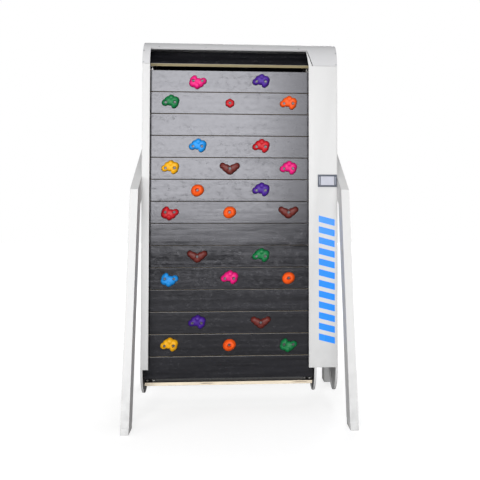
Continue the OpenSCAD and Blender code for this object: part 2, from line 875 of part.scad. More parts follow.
module bottom_shaft() {
    color("silver") x_rod(left_plate_x + bearing_plate_t + 2, right_plate_x - 2, shaft_r, 0, bottom_axis_z);
}

module top_sprockets() {
    color("silver") {
        conveyor_sprocket(left_chain_x, top_axis_z, 1);
        conveyor_sprocket(right_chain_x, top_axis_z, -1);
    }
}

module bottom_sprockets() {
    color("silver") {
        conveyor_sprocket(left_chain_x, bottom_axis_z, 1);
        conveyor_sprocket(right_chain_x, bottom_axis_z, -1);
    }
}

// Two slats on their way over the top wheel.
module top_slats() {
    color("#202022") for (a = [-45, -135]) on_wheel(top_axis_z, a) slat_blank();
}

module bottom_slat() {
    color("#202022") on_wheel(bottom_axis_z, 90) slat_blank();
}

module top_links() {
    color("dimgray") for (x = [left_chain_x, right_chain_x]) {
        on_wheel(top_axis_z, 0) inner_link(x, pin_half, short_pin_half);
        on_wheel(top_axis_z, -90) inner_link(x, pin_half, pin_half);
        on_wheel(top_axis_z, -180) inner_link(x, short_pin_half, pin_half);
        for (a = [-45, -135]) on_wheel(top_axis_z, a) outer_link(x);
    }
}

module bottom_links() {
    color("dimgray") for (x = [left_chain_x, right_chain_x]) {
        on_wheel(bottom_axis_z, 45) inner_link(x, short_pin_half, pin_half);
        on_wheel(bottom_axis_z, 90) outer_link(x);
        on_wheel(bottom_axis_z, 135) inner_link(x, pin_half, short_pin_half);
    }
}

// ---------------------------------------------------------------- straight runs

// Height of a row's middle: rows count from the top at the front and from the bottom at the back.
function front_row_z(row) = top_axis_z - link - (row - 1) * slat_pitch;
function back_row_z(row) = bottom_axis_z + (row - 1) * slat_pitch;

// Children drawn on the X-Y plane, facing +Z, are put on the front face of every hold's place.
module at_front_holds(kinds) {
    for (h = HOLDS) if (len(search(h[2], kinds)) > 0)
        translate([belt_x + hold_columns[h[1]], -slat_out, front_row_z(h[0])])
            rotate([90, 0, 0]) rotate(h[3] * 180) children();
}

// At the back the belt has turned over, so the holds hang upside down.
module at_back_holds(kinds) {
    for (h = HOLDS) if (len(search(h[2], kinds)) > 0)
        translate([belt_x + hold_columns[h[1]], slat_out, back_row_z(h[0])])
            rotate([-90, 0, 0]) rotate(h[3] * 180) children();
}

// Bore places of one kind of hold.
module bolt_places(kind) {
    for (dx = kind == LOBED ? [-lobed_bolt_x, lobed_bolt_x] : [0]) translate([dx, 0, 0]) children();
}

module hold_bores(seat) {
    translate([0, 0, -slat_t - eps]) cylinder(r = hold_bore_r, h = slat_t + seat + 2 * eps);
    translate([0, 0, seat]) cylinder(r = head_well_r, h = 60);
}

module run_slats(side) {
    for (row = [1:run_count])
        translate([slat_x0, side < 0 ? -slat_out : slat_in, front_row_z(row) - slat_h / 2])
            cube([slat_len, slat_t, slat_h]);
}

module front_slats() {
    color("#202022") difference() {
        run_slats(-1);
        at_front_holds([LOBED]) bolt_places(LOBED) hold_bores(eps);
        at_front_holds([ROUND, VEE, HEX]) hold_bores(eps);
    }
}

module back_slats() {
    color("#202022") difference() {
        run_slats(1);
        at_back_holds([LOBED]) bolt_places(LOBED) hold_bores(eps);
        at_back_holds([ROUND, VEE, HEX]) hold_bores(eps);
    }
}

module front_chains() {
    color("dimgray") for (x = [left_chain_x, right_chain_x]) run_chain(x);
}

module back_chains() {
    color("dimgray") mirror([0, 1, 0]) for (x = [left_chain_x, right_chain_x]) run_chain(x);
}

// One rounded boss of a moulded hold, tapering from radius r1 at the slat to r2 at height h.
module boss(x, y, r1, r2, h) {
    translate([x, y, 0]) cylinder(r1 = r1, r2 = r2, h = h);
}

// Lobed hold: a bump at the top and a lobe at each lower corner.
module lobed_hold() {
    difference() {
        union() {
            boss(-2, 11, 33, 23, 30);
            boss(6, 37, 23, 12, 38);
            boss(-39, -1, 26, 17, 32);
            boss(37, 17, 27, 17, 33);
            boss(38, 1, 25, 17, 31);
            boss(25, -26, 18, 10, 28);
        }
        bolt_places(LOBED) hold_bores(seat_h);
    }
}

module round_hold() {
    difference() {
        boss(0, 0, 50, 36, 40);
        hold_bores(seat_h);
    }
}

// Vee hold: a low middle with a wing rising to each side.
module vee_hold() {
    difference() {
        union() {
            boss(0, -14, 30, 20, 34);
            for (s = [-1, 1]) {
                boss(s * 27, 4, 26, 17, 34);
                boss(s * 50, 20, 24, 15, 32);
            }
        }
        hold_bores(seat_h);
    }
}

module hex_hold() {
    across = 74;
    hold_h = 22;
    difference() {
        rotate(30) cylinder(r = across / 2, h = hold_h, $fn = 6);
        hold_bores(hex_seat_h);
    }
}

// Bolt through hold and slat, with its washer and head down in the well.
module hold_bolt(seat) {
    translate([0, 0, -slat_t]) cylinder(r = hold_bolt_r, h = slat_t + seat + washer_t + head_h);
    translate([0, 0, seat]) cylinder(r = washer_r, h = washer_t);
    translate([0, 0, seat + washer_t]) cylinder(r = head_r, h = head_h);
}

module front_lobed_holds() {
    color("seagreen") at_front_holds([LOBED]) lobed_hold();
}

module front_round_holds() {
    color("orangered") {
        at_front_holds([ROUND]) round_hold();
        at_front_holds([HEX]) hex_hold();
    }
}

module front_vee_holds() {
    color("saddlebrown") at_front_holds([VEE]) vee_hold();
}

module front_hold_bolts() {
    color("silver") {
        at_front_holds([LOBED]) bolt_places(LOBED) hold_bolt(seat_h);
        at_front_holds([ROUND, VEE]) hold_bolt(seat_h);
        at_front_holds([HEX]) hold_bolt(hex_seat_h);
    }
}

module back_lobed_holds() {
    color("seagreen") at_back_holds([LOBED]) lobed_hold();
}

module back_round_holds() {
    color("orangered") {
        at_back_holds([ROUND]) round_hold();
        at_back_holds([HEX]) hex_hold();
    }
}

module back_vee_holds() {
    color("saddlebrown") at_back_holds([VEE]) vee_hold();
}

module back_hold_bolts() {
    color("silver") {
        at_back_holds([LOBED]) bolt_places(LOBED) hold_bolt(seat_h);
        at_back_holds([ROUND, VEE]) hold_bolt(seat_h);
        at_back_holds([HEX]) hold_bolt(hex_seat_h);
    }
}

left_side_panel();
right_inner_panel();
right_outer_panel();
left_bearing_plate();
right_bearing_plate();
left_front_cover();
left_back_cover();
drive_front_cover();
drive_back_cover();
top_cap();
cap_cheek();
drive_box_floor();
cover_screws();
cross_tubes();
left_guide_rails();
right_guide_rails();
shaft_bearings();
bearing_bolts();
take_up_screws();
arm_struts();
left_front_leg();
left_arm();
left_rear_leg();
right_front_leg();
right_arm();
right_rear_leg();
foot_blocks();
rear_cross_beam();
lower_ties();
stand_bolts();
touch_panel();
power_inlet();
drive_controller();
motor_bracket();
gear_motor();
motor_brake();
motor_sprocket();
drive_chain();
top_shaft();
top_sprockets();
drive_sprocket();
top_slats();
top_links();
bottom_shaft();
bottom_sprockets();
bottom_slat();
bottom_links();
front_slats();
front_chains();
front_lobed_holds();
front_round_holds();
front_vee_holds();
front_hold_bolts();
back_slats();
back_chains();
back_lobed_holds();
back_round_holds();
back_vee_holds();
back_hold_bolts();
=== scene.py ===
import math

import bmesh
import bpy
from mathutils import Matrix, Vector


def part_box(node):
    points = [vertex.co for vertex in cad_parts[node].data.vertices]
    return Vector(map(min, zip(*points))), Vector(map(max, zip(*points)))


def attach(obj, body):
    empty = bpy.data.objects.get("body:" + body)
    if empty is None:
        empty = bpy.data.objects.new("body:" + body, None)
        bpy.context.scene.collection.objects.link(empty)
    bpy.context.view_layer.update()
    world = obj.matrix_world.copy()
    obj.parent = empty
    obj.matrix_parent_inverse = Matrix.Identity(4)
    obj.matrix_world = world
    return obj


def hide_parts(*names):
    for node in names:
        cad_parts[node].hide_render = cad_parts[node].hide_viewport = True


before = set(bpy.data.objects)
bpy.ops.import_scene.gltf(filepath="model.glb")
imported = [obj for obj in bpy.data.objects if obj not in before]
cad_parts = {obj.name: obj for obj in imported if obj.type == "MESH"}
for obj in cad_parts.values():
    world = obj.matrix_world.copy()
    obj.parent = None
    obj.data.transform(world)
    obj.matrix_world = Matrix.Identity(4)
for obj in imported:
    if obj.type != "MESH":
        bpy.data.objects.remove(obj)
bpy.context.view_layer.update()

scene = bpy.context.scene

# ---------------------------------------------------------------- camera
# The eye stands at chest height 5.4 m in front of the wall, just left of its middle.
# It looks level and ahead, and the frame is shifted so that the whole wall fits.
camera = bpy.data.objects.new("camera", bpy.data.cameras.new("camera"))
scene.collection.objects.link(camera)
camera.location = (-0.055, -5.426, 1.398)
camera.rotation_euler = (math.radians(92.10), 0, math.radians(-4.24))
camera.data.sensor_width = 36
camera.data.lens = 54.08
camera.data.shift_x = -0.0963
camera.data.shift_y = -0.1085
scene.camera = camera
scene.view_settings.view_transform = "Standard"


# ---------------------------------------------------------------- studio
# A white studio: pale floor and even white surroundings. A large soft box high in front on the left
# is mirrored by the lacquered slats, with a weaker one beside it. Low boxes stand at both sides,
# one stands high behind and a wide one hangs overhead.
def put(tree, kind, inputs=(), **options):
    """Adds a node, sets its options, and gives its inputs values or links from other nodes."""
    made = tree.nodes.new(kind)
    for option, value in options.items():
        setattr(made, option, value)
    for key, value in dict(inputs).items():
        if isinstance(value, bpy.types.NodeSocket):
            tree.links.new(value, made.inputs[key])
        else:
            made.inputs[key].default_value = value
    return made


def new_finish(name):
    """An empty material with a Principled shader; returns the material, its tree and the shader."""
    finish = bpy.data.materials.new(name)
    finish.use_nodes = True
    tree = finish.node_tree
    tree.nodes.clear()
    shader = put(tree, "ShaderNodeBsdfPrincipled")
    put(tree, "ShaderNodeOutputMaterial", {"Surface": shader.outputs[0]})
    return finish, tree, shader


def new_piece(name, mesh):
    piece = bpy.data.objects.new(name, mesh)
    scene.collection.objects.link(piece)
    return piece


def soft_box(name, place, aim, size, power):
    lamp = bpy.data.lights.new(name, "AREA")
    lamp.shape = "RECTANGLE"
    lamp.size, lamp.size_y = size
    lamp.energy = power
    lamp_object = new_piece(name, lamp)
    lamp_object.location = place
    direction = Vector(aim) - Vector(place)
    lamp_object.rotation_euler = direction.to_track_quat("-Z", "Y").to_euler()
    lamp_object.visible_camera = False


soft_box("main_soft_box", (-0.85, -9.0, 3.35), (-0.85, 0, 3.35), (3.5, 4.2), 590)
soft_box("side_soft_box", (1.9, -9.0, 3.3), (1.9, 0, 3.3), (1.9, 3.6), 96)
soft_box("left_soft_box", (-4.6, -4.4, 0.9), (0, 0, 0.9), (2.4, 1.7), 120)
soft_box("right_soft_box", (4.4, -4.4, 0.9), (0, 0, 0.9), (2.4, 1.7), 50)
soft_box("back_soft_box", (1.5, 7.0, 5.6), (0, 0, 1.4), (4.0, 3.0), 300)
soft_box("top_soft_box", (0, -0.5, 6.5), (0, -0.5, 0), (6.0, 6.0), 50)

world = bpy.data.worlds.new("studio")
scene.world = world
world.use_nodes = True
world.node_tree.nodes.clear()
glow = put(world.node_tree, "ShaderNodeBackground", {"Color": (1, 1, 1, 1), "Strength": 0.28})
backdrop = put(world.node_tree, "ShaderNodeBackground", {"Color": (1, 1, 1, 1), "Strength": 1.0})
seen = put(world.node_tree, "ShaderNodeLightPath")
blended = put(world.node_tree, "ShaderNodeMixShader",
              {0: seen.outputs["Is Camera Ray"], 1: glow.outputs[0], 2: backdrop.outputs[0]})
put(world.node_tree, "ShaderNodeOutputWorld", {"Surface": blended.outputs[0]})

floor_finish, floor_tree, floor_shader = new_finish("studio_floor")
floor_cloud = put(floor_tree, "ShaderNodeTexNoise", {
    "Vector": put(floor_tree, "ShaderNodeTexCoord").outputs["Object"], "Scale": 0.4, "Detail": 2.0})
floor_tone = put(floor_tree, "ShaderNodeMapRange", {
    "Value": floor_cloud.outputs[0], "To Min": 0.44, "To Max": 0.47})
floor_tree.links.new(floor_tone.outputs[0], floor_shader.inputs["Base Color"])
floor_shader.inputs["Roughness"].default_value = 0.85
floor_shader.inputs["Specular IOR Level"].default_value = 0.1
floor_shader.inputs["Emission Color"].default_value = (1, 1, 1, 1)
away = put(floor_tree, "ShaderNodeVectorMath", {
    0: put(floor_tree, "ShaderNodeTexCoord").outputs["Object"]}, operation="LENGTH").outputs["Value"]
floor_glow = put(floor_tree, "ShaderNodeMapRange", {
    "Value": away, "From Min": 1.2, "From Max": 4.5, "To Min": 0.66, "To Max": 1.0})
floor_seen = put(floor_tree, "ShaderNodeLightPath").outputs["Is Camera Ray"]
floor_lift = put(floor_tree, "ShaderNodeMath", {
    0: floor_glow.outputs[0], 1: floor_seen}, operation="MULTIPLY")
floor_tree.links.new(floor_lift.outputs[0], floor_shader.inputs["Emission Strength"])
floor_mesh = bpy.data.meshes.new("studio_floor")
floor_mesh.from_pydata([(-30, -30, 0), (30, -30, 0), (30, 30, 0), (-30, 30, 0)], [], [(0, 1, 2, 3)])
floor_mesh.materials.append(floor_finish)
floor = new_piece("studio_floor", floor_mesh)


# ---------------------------------------------------------------- stands
# Two side stands of 150 x 56 mm box section in 3 mm steel, each leg and arm mitred, welded and
# ground flush, then powder coated white. Solid blocks close the feet.
def calc(tree, operation, a, b=0.0):
    return put(tree, "ShaderNodeMath", {0: a, 1: b}, operation=operation).outputs[0]


def ramp(tree, value, low, high, to_low=0.0, to_high=1.0):
    return put(tree, "ShaderNodeMapRange", {
        "Value": value, "From Min": low, "From Max": high,
        "To Min": to_low, "To Max": to_high}).outputs[0]


def noise(tree, vector, scale, detail=2.0, roughness=0.5):
    return put(tree, "ShaderNodeTexNoise", {
        "Vector": vector, "Scale": scale, "Detail": detail, "Roughness": roughness}).outputs[0]


def scaled(tree, vector, factors):
    return put(tree, "ShaderNodeVectorMath", {0: vector, 1: factors}, operation="MULTIPLY").outputs[0]


def dimmed(tree, colour, amount):
    return put(tree, "ShaderNodeVectorMath", {0: colour, "Scale": amount}, operation="SCALE").outputs[0]


def mixed(tree, mask, first, second):
    return put(tree, "ShaderNodeMix", {0: mask, 6: first, 7: second}, data_type="RGBA").outputs[2]


def new_effect(name, inputs, outputs):
    """An empty shader node group with named sockets; returns it with its two end nodes."""
    group = bpy.data.node_groups.new(name, "ShaderNodeTree")
    for socket, kind in inputs:
        group.interface.new_socket(socket, in_out="INPUT", socket_type=kind)
    for socket, kind in outputs:
        group.interface.new_socket(socket, in_out="OUTPUT", socket_type=kind)
    return group, put(group, "NodeGroupInput"), put(group, "NodeGroupOutput")


COLOUR, NUMBER = "NodeSocketColor", "NodeSocketFloat"
SKIN_OUTPUTS = [("Colour", COLOUR), ("Roughness", NUMBER), ("Height", NUMBER)]

paint_skin, skin_in, skin_out = new_effect(
    "paint_skin", [("Colour", COLOUR), ("Roughness", NUMBER), ("Grime", NUMBER)], SKIN_OUTPUTS)
spot = put(paint_skin, "ShaderNodeTexCoord").outputs["Object"]
peel = noise(paint_skin, spot, 420.0, 1.5)
cloud = noise(paint_skin, spot, 1.7, 4.0)
rubs = noise(paint_skin, scaled(paint_skin, spot, (1, 1, 0.25)), 38.0, 6.0, 0.7)
rubbed = ramp(paint_skin, rubs, 0.66, 0.76)
height = put(paint_skin, "ShaderNodeSeparateXYZ", {0: spot}).outputs["Z"]
dust = calc(paint_skin, "MULTIPLY", ramp(paint_skin, height, 0.0, 0.55, 1.0, 0.0),
            ramp(paint_skin, noise(paint_skin, spot, 16.0, 5.0), 0.35, 0.75))
dust = calc(paint_skin, "MULTIPLY", dust, skin_in.outputs["Grime"])
tone = ramp(paint_skin, cloud, 0.3, 0.7, 0.975, 1.015)
tone = calc(paint_skin, "SUBTRACT", tone, calc(paint_skin, "MULTIPLY", rubbed, 0.05))
tone = calc(paint_skin, "SUBTRACT", tone, calc(paint_skin, "MULTIPLY", dust, 0.22))
gloss = calc(paint_skin, "ADD", skin_in.outputs["Roughness"], ramp(paint_skin, cloud, 0.3, 0.7, -0.05, 0.05))
gloss = calc(paint_skin, "ADD", gloss, calc(paint_skin, "MULTIPLY", rubbed, 0.12))
gloss = calc(paint_skin, "ADD", gloss, calc(paint_skin, "MULTIPLY", dust, 0.3))
for socket, value in (("Colour", dimmed(paint_skin, skin_in.outputs["Colour"], tone)),
                      ("Roughness", gloss), ("Height", peel)):
    paint_skin.links.new(value, skin_out.inputs[socket])


def wear(name, effect, values, bump, metallic=0.0, specular=0.5):
    """A finish whose colour, roughness and relief come from one shared effect."""
    finish, tree, shader = new_finish(name)
    skin = put(tree, "ShaderNodeGroup", node_tree=effect)
    for socket, value in values.items():
        skin.inputs[socket].default_value = value
    relief = put(tree, "ShaderNodeBump", {
        "Strength": 1.0, "Distance": bump, "Height": skin.outputs["Height"]})
    tree.links.new(skin.outputs["Colour"], shader.inputs["Base Color"])
    tree.links.new(skin.outputs["Roughness"], shader.inputs["Roughness"])
    tree.links.new(relief.outputs[0], shader.inputs["Normal"])
    shader.inputs["Metallic"].default_value = metallic
    shader.inputs["Specular IOR Level"].default_value = specular
    return finish


white_coat = wear("white_powder_coat", paint_skin,
                  {"Colour": (0.58, 0.58, 0.58, 1), "Roughness": 0.55, "Grime": 1.0}, 0.00006, specular=0.3)
black_coat = wear("black_paint", paint_skin,
                  {"Colour": (0.025, 0.025, 0.028, 1), "Roughness": 0.42, "Grime": 0.6}, 0.00008)


def shade(mesh, angle=30):
    """Smooth faces, with a crease wherever two of them meet at more than this many degrees."""
    for face in mesh.polygons:
        face.use_smooth = True
    mesh.set_sharp_from_angle(angle=math.radians(angle))


def bevelled(bm, width, angle=30, segments=2):
    sharp = [edge for edge in bm.edges
             if len(edge.link_faces) == 2 and edge.calc_face_angle() > math.radians(angle)]
    bmesh.ops.bevel(bm, geom=sharp, offset=width, offset_type="OFFSET", segments=segments,
                    profile=0.5, affect="EDGES", clamp_overlap=True)


def made_from(bm, name, finish, angle=30):
    """The finished piece of a bmesh, with its material and smooth shading."""
    mesh = bpy.data.meshes.new(name)
    bmesh.ops.recalc_face_normals(bm, faces=bm.faces)
    bm.to_mesh(mesh)
    bm.free()
    mesh.materials.append(finish)
    shade(mesh, angle)
    return new_piece(name, mesh)


def prism(bm, outline, x0, x1):
    """Closed body between x0 and x1 over an outline of (y, z) points."""
    near = [bm.verts.new((x0, y, z)) for y, z in outline]
    far = [bm.verts.new((x1, y, z)) for y, z in outline]
    bm.faces.new(near)
    bm.faces.new(far[::-1])
    for i in range(len(outline)):
        j = (i + 1) % len(outline)
        bm.faces.new((near[i], far[i], far[j], near[j]))


def dressed(name, node, finish, width, segments=2):
    """Copy of a CAD node with its triangles joined into whole faces and its edges rounded."""
    bm = bmesh.new()
    bm.from_mesh(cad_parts[node].data)
    bmesh.ops.remove_doubles(bm, verts=bm.verts, dist=0.00002)
    bmesh.ops.dissolve_limit(bm, angle_limit=math.radians(1), verts=bm.verts, edges=bm.edges)
    bevelled(bm, width, 30, segments)
    piece = made_from(bm, name, finish)
    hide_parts(node)
    return piece


def on_frame(piece, slot, *nodes, body="frame"):
    """Fixes a piece to a body of the CAD model, in place of these nodes."""
    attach(piece, body)
    if nodes:
        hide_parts(*nodes)


column_half = 0.7075
stand_w = 0.056
foot_reach, knee_y, knee_z, foot_top = 0.757, 0.385, 1.572, 0.043
leg_depth = 0.150
leg_rate = (foot_reach - knee_y) / knee_z
arm_rate = math.tan(math.radians(28))
inner_reach = foot_reach - leg_depth * math.hypot(1, leg_rate)
arm_drop = leg_depth / math.cos(math.radians(28))
rear_knee_y = (foot_reach - leg_rate * (knee_z + arm_rate * knee_y)) / (1 + leg_rate * arm_rate)
rear_knee_z = knee_z + arm_rate * (rear_knee_y + knee_y)
under_z = knee_z - arm_drop + arm_rate * knee_y
front_inner_z = (under_z - arm_rate * inner_reach) / (1 - arm_rate * leg_rate)
rear_inner_z = (under_z + arm_rate * inner_reach) / (1 + arm_rate * leg_rate)
chevron = [
    (leg_rate * foot_top - foot_reach, foot_top), (-knee_y, knee_z), (rear_knee_y, rear_knee_z),
    (foot_reach - leg_rate * foot_top, foot_top), (inner_reach - leg_rate * foot_top, foot_top),
    (inner_reach - leg_rate * rear_inner_z, rear_inner_z),
    (leg_rate * front_inner_z - inner_reach, front_inner_z),
    (leg_rate * foot_top - inner_reach, foot_top),
]
for side, x0 in (("left", -column_half - stand_w), ("right", column_half)):
    stand_bm = bmesh.new()
    prism(stand_bm, chevron, x0, x0 + stand_w)
    bevelled(stand_bm, 0.004, 20, 3)
    stand = made_from(stand_bm, side + "_stand", white_coat)
    on_frame(stand, "white_steel", side + "_front_leg", side + "_arm", side + "_rear_leg")
for name, node, width in (("foot_plugs", "foot_blocks", 0.0025), ("rear_beam", "rear_cross_beam", 0.003),
                          ("column_ties", "lower_ties", 0.002)):
    on_frame(dressed(name, node, white_coat, width), "white_steel")


# ---------------------------------------------------------------- side panels
# Each side of the column is a tray of 2.5 mm sheet with round ends and a turned rim, powder coated white. Two
# smaller plates between them carry the shafts; their black paint is painted shade, darkening the inside of
# the trays.
bottom_axis_z, cap_z = 0.293, 2.473


def stadium(radius, x, steps=40):
    """Points round the column's outline: half circles at the bottom and the top."""
    points = []
    for centre, start in ((bottom_axis_z, math.pi), (cap_z, 0)):
        for i in range(steps + 1):
            angle = start + math.pi * i / steps
            points.append(Vector((x, radius * math.cos(angle), centre + radius * math.sin(angle))))
    return points


def lofted(name, rings, finish, angle=30):
    """Closed body through rings of points, with a flat face over the first and the last."""
    bm = bmesh.new()
    rows = [[bm.verts.new(point) for point in ring] for ring in rings]
    bm.faces.new(rows[0])
    bm.faces.new(rows[-1][::-1])
    for a, b in zip(rows, rows[1:]):
        for i in range(len(a)):
            j = (i + 1) % len(a)
            bm.faces.new((a[i], b[i], b[j], a[j]))
    return made_from(bm, name, finish, angle)


def tray(name, skin_x, opening, radius, finish):
    """Sheet tray with its skin at skin_x, and its rim turned towards +X or -X by opening."""
    sheet, depth, bend = 0.0025, 0.016, 0.003
    rings = [stadium(radius - bend, skin_x)]
    for turn in (30, 60, 90):
        inset = bend * (1 - math.sin(math.radians(turn)))
        rings.append(stadium(radius - inset, skin_x + opening * bend * (1 - math.cos(math.radians(turn)))))
    rings += [stadium(radius, skin_x + opening * (depth - 0.0006)),
              stadium(radius - 0.0006, skin_x + opening * depth),
              stadium(radius - sheet + 0.0006, skin_x + opening * depth),
              stadium(radius - sheet, skin_x + opening * (depth - 0.0006)),
              stadium(radius - sheet, skin_x + opening * (sheet + 0.001)),
              stadium(radius - sheet - 0.001, skin_x + opening * sheet)]
    return lofted(name, rings, finish)


panel_r = 0.2028
inner_tray_skin, left_plate_x, right_plate_x = 0.5525, -0.6965, 0.543
plate_r, plate_t, plate_edge = 0.189, 0.005, 0.0006
on_frame(tray("left_side_tray", -column_half, 1, panel_r, white_coat), "white_steel", "left_side_panel")
on_frame(tray("right_side_tray", column_half, -1, panel_r, white_coat), "white_steel", "right_outer_panel")
on_frame(tray("drive_box_tray", inner_tray_skin, -1, panel_r, white_coat), "white_steel", "right_inner_panel")
for name, node, x in (("left_shaft_plate", "left_bearing_plate", left_plate_x),
                      ("right_shaft_plate", "right_bearing_plate", right_plate_x)):
    plate = lofted(name, [stadium(plate_r - plate_edge, x), stadium(plate_r, x + plate_edge),
                          stadium(plate_r, x + plate_t - plate_edge),
                          stadium(plate_r - plate_edge, x + plate_t)], black_coat)
    on_frame(plate, "black_steel", node)

# ---------------------------------------------------------------- covers
# Folded 2 mm sheet strips over the front and back edges of the belt: a narrow one at the left and
# a wide one over the drive box at the right. Each hooks between the side trays' rims.
# Painted shade: the cap and its lip take the white powder coat darkened from 0.58 to 0.50, so the rolled top
# comes out darker than the covers.
shaded_cap_coat = wear("cap_powder_coat_painted_shade", paint_skin,
                {"Colour": (0.50, 0.50, 0.51, 1), "Roughness": 0.55, "Grime": 0.0}, 0.00006, specular=0.3)
for name, node in (("left_front_strip", "left_front_cover"), ("left_back_strip", "left_back_cover"),
                   ("drive_front_strip", "drive_front_cover"), ("drive_back_strip", "drive_back_cover")):
    on_frame(dressed(name, node, white_coat, 0.0008), "white_steel")
on_frame(dressed("cap_filler", "cap_cheek", white_coat, 0.0005), "white_steel")

# ---------------------------------------------------------------- cap
# One sheet rolled to a half cylinder closes the top. Its front is cut away between the covers, so
# that the belt shows, with a turned lip along the cut and a slanting edge at its right.
cap_r, sheet_t, seam_rise = 0.205, 0.002, 0.0133
lip_angle = 43.5
lip_left, lip_right, slant = -0.6525, 0.4875, 0.040
lip_rows, back_rows = 8, 34
seam_angle = math.degrees(math.asin(seam_rise / cap_r))
cap_rows = [seam_angle + (lip_angle - seam_angle) * i / lip_rows for i in range(lip_rows + 1)]
cap_rows += [lip_angle + (180 - seam_angle - lip_angle) * i / back_rows
             for i in range(1, back_rows + 1)]
cap_bm = bmesh.new()
inner_r = cap_r - sheet_t
seam_turn, lip_turn = math.radians(seam_angle), math.radians(lip_angle)
grid = {}
for row, degrees in enumerate(cap_rows):
    turn = math.radians(degrees)
    share = (math.sin(turn) - math.sin(seam_turn)) / (math.sin(lip_turn) - math.sin(seam_turn))
    cut = lip_right + (slant * (1 - share) if degrees < lip_angle else 0)
    for column, x in enumerate((-column_half, lip_left, cut, column_half)):
        for layer, radius in enumerate((cap_r, inner_r)):
            grid[row, column, layer] = cap_bm.verts.new(
                (x, -radius * math.cos(turn), cap_z + radius * math.sin(turn)))


def sheet_cells():
    for row in range(len(cap_rows) - 1):
        for column in range(3):
            if column != 1 or row >= lip_rows:
                yield row, column


cells = set(sheet_cells())
for row, column in cells:
    corners = [(row, column), (row, column + 1), (row + 1, column + 1), (row + 1, column)]
    cap_bm.faces.new([grid[r, c, 0] for r, c in corners])
    cap_bm.faces.new([grid[r, c, 1] for r, c in reversed(corners)])
    for (a, b), neighbour in zip(zip(corners, corners[1:] + corners[:1]),
                                 ((row - 1, column), (row, column + 1),
                                  (row + 1, column), (row, column - 1))):
        if neighbour not in cells:
            cap_bm.faces.new([grid[a[0], a[1], 0], grid[a[0], a[1], 1],
                              grid[b[0], b[1], 1], grid[b[0], b[1], 0]])
bmesh.ops.delete(cap_bm, geom=[v for v in cap_bm.verts if not v.link_faces], context="VERTS")
bmesh.ops.recalc_face_normals(cap_bm, faces=cap_bm.faces)
bevelled(cap_bm, 0.0006, 60, 1)
cap = made_from(cap_bm, "rolled_cap", shaded_cap_coat, 40)
on_frame(cap, "white_steel", "top_cap")

lip_bm = bmesh.new()
lip_depth = 0.011
corner = [(-inner_r * math.cos(lip_turn), cap_z + inner_r * math.sin(lip_turn))]
corner.append((corner[0][0] + 0.002 * math.sin(lip_turn), corner[0][1] + 0.002 * math.cos(lip_turn)))
corner += [(y + lip_depth * math.cos(lip_turn), z - lip_depth * math.sin(lip_turn))
           for y, z in reversed(corner)]
prism(lip_bm, corner, lip_left + 0.001, lip_right - 0.001)
bevelled(lip_bm, 0.0005, 60, 1)
on_frame(made_from(lip_bm, "cap_lip", shaded_cap_coat), "white_steel")


# ---------------------------------------------------------------- screws and bolts
# Zinc-plated button-head screws hold the cap, and domed caps cover the bolts through the arms.
# Each has a hexagon socket and a washer, and is turned to face out of the sheet it holds.
metal_skin, skin_in, skin_out = new_effect(
    "metal_skin", [("Colour", COLOUR), ("Roughness", NUMBER), ("Stain", COLOUR), ("Stained", NUMBER)],
    SKIN_OUTPUTS)
spot = put(metal_skin, "ShaderNodeTexCoord").outputs["Object"]
streak = noise(metal_skin, scaled(metal_skin, spot, (60, 900, 900)), 1.0, 3.0)
blot = noise(metal_skin, spot, 45.0, 5.0, 0.65)
film = calc(metal_skin, "MULTIPLY", ramp(metal_skin, blot, 0.42, 0.66), skin_in.outputs["Stained"])
colour = dimmed(metal_skin, skin_in.outputs["Colour"], ramp(metal_skin, streak, 0.3, 0.7, 0.86, 1.1))
gloss = calc(metal_skin, "ADD", skin_in.outputs["Roughness"], ramp(metal_skin, streak, 0.3, 0.7, -0.06, 0.08))
gloss = calc(metal_skin, "ADD", gloss, calc(metal_skin, "MULTIPLY", film, 0.18))
for socket, value in (("Colour", mixed(metal_skin, film, colour, skin_in.outputs["Stain"])),
                      ("Roughness", gloss), ("Height", streak)):
    metal_skin.links.new(value, skin_out.inputs[socket])

zinc = wear("zinc_plate", metal_skin, {
    "Colour": (0.42, 0.43, 0.45, 1), "Roughness": 0.42, "Stain": (0.26, 0.26, 0.27, 1), "Stained": 0.5},
    0.00002, metallic=1.0)


def realized(tree, geometry, finish):
    """Realizes the instances and gives them their material."""
    real = put(tree, "GeometryNodeRealizeInstances", {0: geometry})
    return put(tree, "GeometryNodeSetMaterial", {"Geometry": real.outputs[0], "Material": finish}).outputs[0]


def new_tree(name, inputs):
    """An empty Geometry Nodes tree with these inputs; returns it, its inputs and its end node."""
    tree = bpy.data.node_groups.new(name, "GeometryNodeTree")
    tree.interface.new_socket("Geometry", in_out="INPUT", socket_type="NodeSocketGeometry")
    for socket, kind in inputs:
        tree.interface.new_socket(socket, in_out="INPUT", socket_type=kind)
    tree.interface.new_socket("Geometry", in_out="OUTPUT", socket_type="NodeSocketGeometry")
    return tree, put(tree, "NodeGroupInput").outputs, put(tree, "NodeGroupOutput")


def grown(name, points, tree, values, finish, angle=30):
    """Runs a tree on a mesh of points and keeps the result as a plain piece."""
    seed = new_piece(name + "_seed", points)
    growth = seed.modifiers.new("growth", "NODES")
    growth.node_group = tree
    sockets = {item.name: item.identifier for item in tree.interface.items_tree if item.in_out == "INPUT"}
    for socket, value in dict(values, Finish=finish).items():
        growth[sockets[socket]] = value
    bpy.context.view_layer.update()
    whole = seed.evaluated_get(bpy.context.evaluated_depsgraph_get())
    mesh = bpy.data.meshes.new_from_object(whole)
    seed.modifiers.remove(growth)
    bpy.data.objects.remove(seed)
    mesh.name = name
    shade(mesh, angle)
    return new_piece(name, mesh)


def facing_points(name, places):
    """Mesh of loose points, each with the direction that its bolt faces."""
    mesh = bpy.data.meshes.new(name)
    mesh.from_pydata([place for place, _ in places], [], [])
    facing = mesh.attributes.new("facing", "FLOAT_VECTOR", "POINT")
    for item, (_, direction) in zip(facing.data, places):
        item.vector = direction
    return mesh


